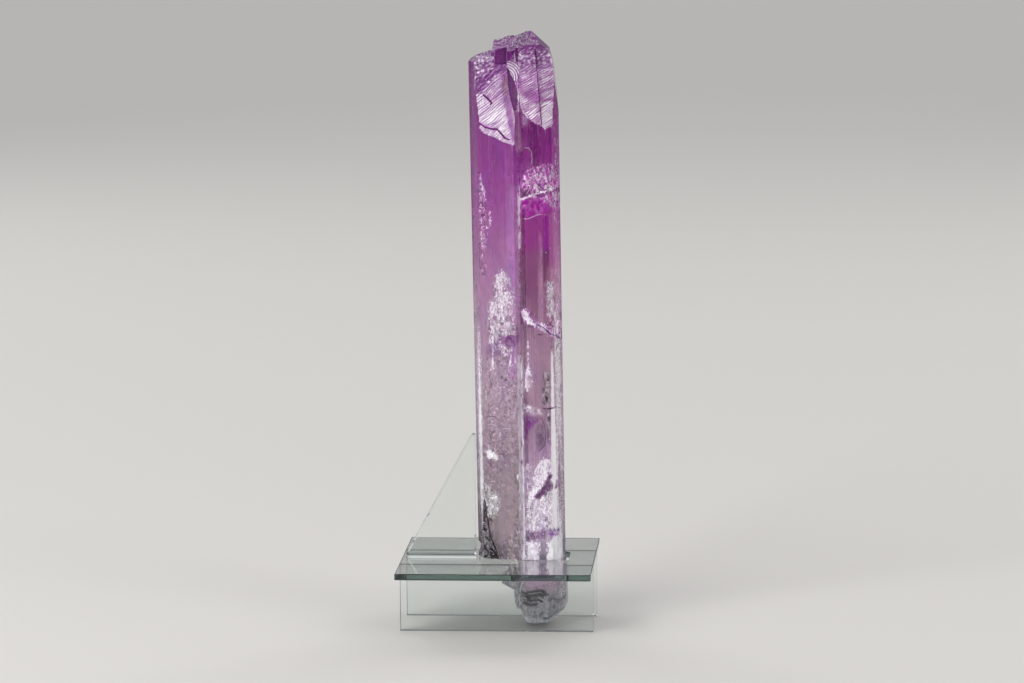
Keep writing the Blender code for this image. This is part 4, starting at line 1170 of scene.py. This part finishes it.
def kunzite_material():
    """Glassy lilac spodumene with etched, frosted and crushed parts."""
    material, tree, shader = new_material("kunzite_lilac_spodumene")
    here = add(tree, "TexCoord").outputs["Object"]
    place = add(tree, "Mapping", {"Vector": here, "Location": (AXIS_X, 0.0, 0.0), "Rotation": (0.0, LEAN, 0.0)},
                vector_type="TEXTURE").outputs[0]
    marks = {name: add(tree, "Attribute", attribute_name=name).outputs["Fac"]
             for name in ("frost", "crush", "etched", "deep", "pale", "fracture")}
    tint = add(tree, "Attribute", attribute_name="tint").outputs["Color"]

    # A mosaic of tiny facets where the stone is crushed, each with its own tilt and tone
    cells = add(tree, "TexVoronoi", {"Vector": vector_maths(tree, "DIVIDE", place, (1.1 * MM, 1.1 * MM, 1.7 * MM)),
                                     "Scale": 1.0})
    facet = add(tree, "SeparateColor", {0: cells.outputs["Color"]}).outputs
    mosaic = maths(tree, "MULTIPLY", marks["crush"], 0.8)
    cell_tone = add(tree, "Mix", {0: mosaic, 2: 1.0, 3: remap(tree, facet[0], 0.0, 1.0, 0.50, 1.28)}).outputs[0]

    # Growth bands along the length, and soft clouds
    bands = grain(tree, place, (1.2, 1.2, 50.0), detail=3.0)
    clouds = grain(tree, place, (2.6, 2.6, 5.5), detail=5.0, roughness=0.65)
    tone = maths(tree, "ADD", remap(tree, bands, 0.3, 0.7, 0.93, 1.05), remap(tree, clouds, 0.3, 0.7, -0.15, 0.13))
    tint = vector_maths(tree, "MULTIPLY", tint, maths(tree, "MULTIPLY", tone, cell_tone))
    blue = remap(tree, grain(tree, place, (5.0, 5.0, 11.0), detail=3.0), 0.46, 0.66)
    tint = mix_colour(tree, blue, tint, linear(BLUE_CLOUD), blend="MULTIPLY")

    # Frosting is solid where it is strong, and breaks up into upright flakes where it is weak
    flakes = maths(tree, "SUBTRACT", grain(tree, place, (0.7, 0.7, 1.3), detail=6.0, roughness=0.75), 0.5)
    drifts = maths(tree, "SUBTRACT", grain(tree, place, (2.6, 2.6, 7.0), detail=3.0), 0.5)
    loose = maths(tree, "MULTIPLY_ADD", flakes, 2.2, maths(tree, "MULTIPLY", drifts, 1.1))
    loose = maths(tree, "MULTIPLY", loose, maths(tree, "MULTIPLY_ADD", marks["etched"], -0.7, 1.0))
    cover = remap(tree, maths(tree, "ADD", marks["frost"], loose), 0.22, 0.85)
    frost = maths(tree, "MULTIPLY", cover, remap(tree, marks["frost"], 0.0, 0.12))

    # Painted glints: here and there a crushed cell is painted white, as a flash of light, and single bubbles stand in
    # the clear stone
    flash = maths(tree, "MULTIPLY", remap(tree, facet[1], 0.71, 0.77), marks["crush"])
    frost = maths(tree, "MAXIMUM", frost, maths(tree, "MULTIPLY", flash, 0.75))
    # Hairline cracks, as a broken web round cells a few millimetres wide
    wander = add(tree, "TexNoise", {"Vector": vector_maths(tree, "DIVIDE", place, (3.0 * MM, 3.0 * MM, 3.0 * MM)),
                                    "Scale": 1.0, "Detail": 4.0}).outputs["Color"]
    bent = vector_maths(tree, "ADD", vector_maths(tree, "DIVIDE", place, (2.4 * MM, 2.4 * MM, 2.4 * MM)),
                        vector_maths(tree, "MULTIPLY", wander, (2.2, 2.2, 2.2)))
    gap = add(tree, "TexVoronoi", {"Vector": bent, "Scale": 1.0}, feature="DISTANCE_TO_EDGE").outputs["Distance"]
    parts = remap(tree, grain(tree, place, (2.0, 2.0, 2.0), detail=2.0), 0.45, 0.57)
    reached = maths(tree, "MULTIPLY", marks["crush"], 1.7, clamp=True)
    web = maths(tree, "MULTIPLY", maths(tree, "MULTIPLY", remap(tree, gap, 0.0, 0.07, 1.0, 0.0), parts), reached)
    frost = maths(tree, "MAXIMUM", frost, web)
    bubbles = add(tree, "TexVoronoi", {"Vector": vector_maths(tree, "DIVIDE", place, (2.1 * MM, 2.1 * MM, 2.6 * MM)),
                                       "Scale": 1.0})
    size = add(tree, "SeparateColor", {0: bubbles.outputs["Color"]}).outputs[0]
    reach = maths(tree, "MULTIPLY", maths(tree, "SUBTRACT", size, 0.72, clamp=True), 0.55)
    dots = remap(tree, maths(tree, "SUBTRACT", reach, bubbles.outputs["Distance"]), 0.0, 0.05)
    frost = maths(tree, "MAXIMUM", frost, maths(tree, "MULTIPLY", dots, 0.7))
    frost = maths(tree, "MAXIMUM", frost, maths(tree, "MULTIPLY", marks["pale"], 0.95))

    # Etched faces are greyer, and the film of air in a fracture has no colour of its own
    tint = mix_colour(tree, maths(tree, "MULTIPLY", marks["etched"], 0.30), tint, linear(ETCHED_COLOUR))
    tint = mix_colour(tree, marks["fracture"], tint, linear(AIR_COLOUR))
    shade = maths(tree, "MULTIPLY_ADD", marks["deep"], DEEP_SHADE - 1.0, 1.0)
    tint = vector_maths(tree, "MULTIPLY", tint, shade)
    # The frosting goes from lilac grey to white, grain by grain
    speckle = grain(tree, place, (0.6, 0.6, 1.2), detail=6.0, roughness=0.8)
    speckle = maths(tree, "MULTIPLY_ADD", remap(tree, marks["frost"], 0.85, 1.0), 0.3, speckle)
    white = mix_colour(tree, remap(tree, speckle, 0.36, 0.56), linear(FROST_SHADE), linear(FROST_COLOUR))
    frost = maths(tree, "MULTIPLY", frost, maths(tree, "SUBTRACT", 1.0, marks["deep"]))
    tint = mix_colour(tree, maths(tree, "MULTIPLY", frost, 0.92), tint, white)
    tree.links.new(tint, shader.inputs["Base Color"])
    # Part of the gloss comes back through a thin skin of stone, so it takes some of the colour
    skin = maths(tree, "MULTIPLY_ADD", marks["etched"], 0.25, GLOSS_SHARE)
    gloss = mix_colour(tree, skin, linear("#FFFFFF"), tint)
    tree.links.new(gloss, shader.inputs["Specular Tint"])

    dull = maths(tree, "MULTIPLY", frost, 0.42)
    rough = maths(tree, "MULTIPLY_ADD", marks["etched"], 0.24, maths(tree, "ADD", dull, 0.025))
    rough = maths(tree, "MULTIPLY_ADD", bands, 0.04, rough, clamp=True)
    tree.links.new(rough, shader.inputs["Roughness"])
    passed = maths(tree, "SUBTRACT", 1.0 - HAZE, maths(tree, "MULTIPLY", frost, 0.78), clamp=True)
    tree.links.new(passed, shader.inputs["Transmission Weight"])

    # Fine lines on the clear faces and pits on the frosted ones, over the tilt of the crushed cells
    tilt = vector_maths(tree, "SUBTRACT", cells.outputs["Color"], (0.5, 0.5, 0.5))
    strength = maths(tree, "MULTIPLY_ADD", marks["crush"], 1.1, 0.05)
    tilt = add(tree, "VectorMath", {0: tilt, "Scale": strength}, operation="SCALE").outputs[0]
    lines = grain(tree, place, (0.30, 0.30, 18.0), detail=3.0)
    pits = grain(tree, place, (0.28, 0.28, 0.28), detail=2.0)
    relief = add(tree, "Mix", {0: frost, 2: maths(tree, "MULTIPLY", lines, 0.4), 3: pits}).outputs[0]
    bump = add(tree, "Bump", {"Height": relief, "Strength": 0.30, "Distance": 0.10 * MM}).outputs["Normal"]
    facing = vector_maths(tree, "NORMALIZE", vector_maths(tree, "ADD", bump, tilt))
    tree.links.new(facing, shader.inputs["Normal"])

    shader.inputs["IOR"].default_value = KUNZITE_IOR
    inside = add(tree, "VolumeAbsorption", {"Color": linear(KUNZITE_ABSORPTION), "Density": ABSORPTION_PER_METRE})
    tree.links.new(inside.outputs[0], tree.nodes["Material Output"].inputs["Volume"])
    return material


kunzite.data.materials.clear()
kunzite.data.materials.append(kunzite_material())
for face in kunzite.data.polygons:
    face.material_index = 0
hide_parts("kunzite_crystal")
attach(kunzite, "root")
print("crystal:", len(kunzite.data.polygons), "faces")

# %% [markdown]
# ## Clear acrylic
#
# The stand is 3 mm cast acrylic sheet, saw cut and glued. Its index of 1.49 is lower than the stone's, and it is almost
# colourless seen through its faces. Its cut edges look grey green, because there the light has come a long way through
# the sheet. The plate's edges are polished, and the brace's are satin from the saw. Which way a face points tells an
# edge from a face of the sheet.

# %% Clear acrylic
ACRYLIC_IOR = 1.49
ACRYLIC_FACE = "#F7FAF9"
ACRYLIC_EDGE = "#93A6A3"
ACRYLIC_ABSORPTION = "#CBD9D6"
ACRYLIC_ABSORPTION_PER_METRE = 22.0
# Each panel: the way its broad faces point, and how much its cut edges scatter
PANELS = {
    "base_plate": ((0.0, 0.0, 1.0), 0.12),
    "front_wall": ((0.0, 1.0, 0.0), 0.10),
    "rear_wall": ((0.0, 1.0, 0.0), 0.10),
    "brace": ((0.0, 1.0, 0.0), 1.0),
}


def acrylic_material(name, broad, satin):
    """Cast acrylic with polished faces, faint wipe marks and cut edges that are more or less satin."""
    material, tree, shader = new_material(name)
    source = add(tree, "TexCoord")
    facing = maths(tree, "ABSOLUTE", add(tree, "VectorMath", {0: source.outputs["Normal"], 1: broad},
                                         operation="DOT_PRODUCT").outputs["Value"])
    edge = remap(tree, facing, 0.35, 0.85, 1.0, 0.0)
    wipes = grain(tree, source.outputs["Object"], (20.0, 1.6, 1.6), detail=5.0)
    saw = grain(tree, source.outputs["Object"], (0.5, 0.5, 0.5), detail=2.0)
    tree.links.new(mix_colour(tree, edge, linear(ACRYLIC_FACE), linear(ACRYLIC_EDGE)), shader.inputs["Base Color"])
    edge = maths(tree, "MULTIPLY", edge, satin)
    dull = maths(tree, "MULTIPLY", edge, remap(tree, saw, 0.3, 0.7, 0.12, 0.30))
    polish = maths(tree, "MULTIPLY", maths(tree, "POWER", wipes, 3.0), 0.12)
    tree.links.new(maths(tree, "ADD", dull, polish), shader.inputs["Roughness"])
    tree.links.new(maths(tree, "MULTIPLY_ADD", edge, -0.22, 1.0), shader.inputs["Transmission Weight"])
    shader.inputs["IOR"].default_value = ACRYLIC_IOR
    inside = add(tree, "VolumeAbsorption", {"Color": linear(ACRYLIC_ABSORPTION),
                                            "Density": ACRYLIC_ABSORPTION_PER_METRE})
    tree.links.new(inside.outputs[0], tree.nodes["Material Output"].inputs["Volume"])
    return material


for name, (broad, satin) in PANELS.items():
    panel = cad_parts[name]
    panel.data.materials.clear()
    panel.data.materials.append(acrylic_material(f"clear_cast_acrylic_{name}", broad, satin))
print("panels:", len(PANELS))
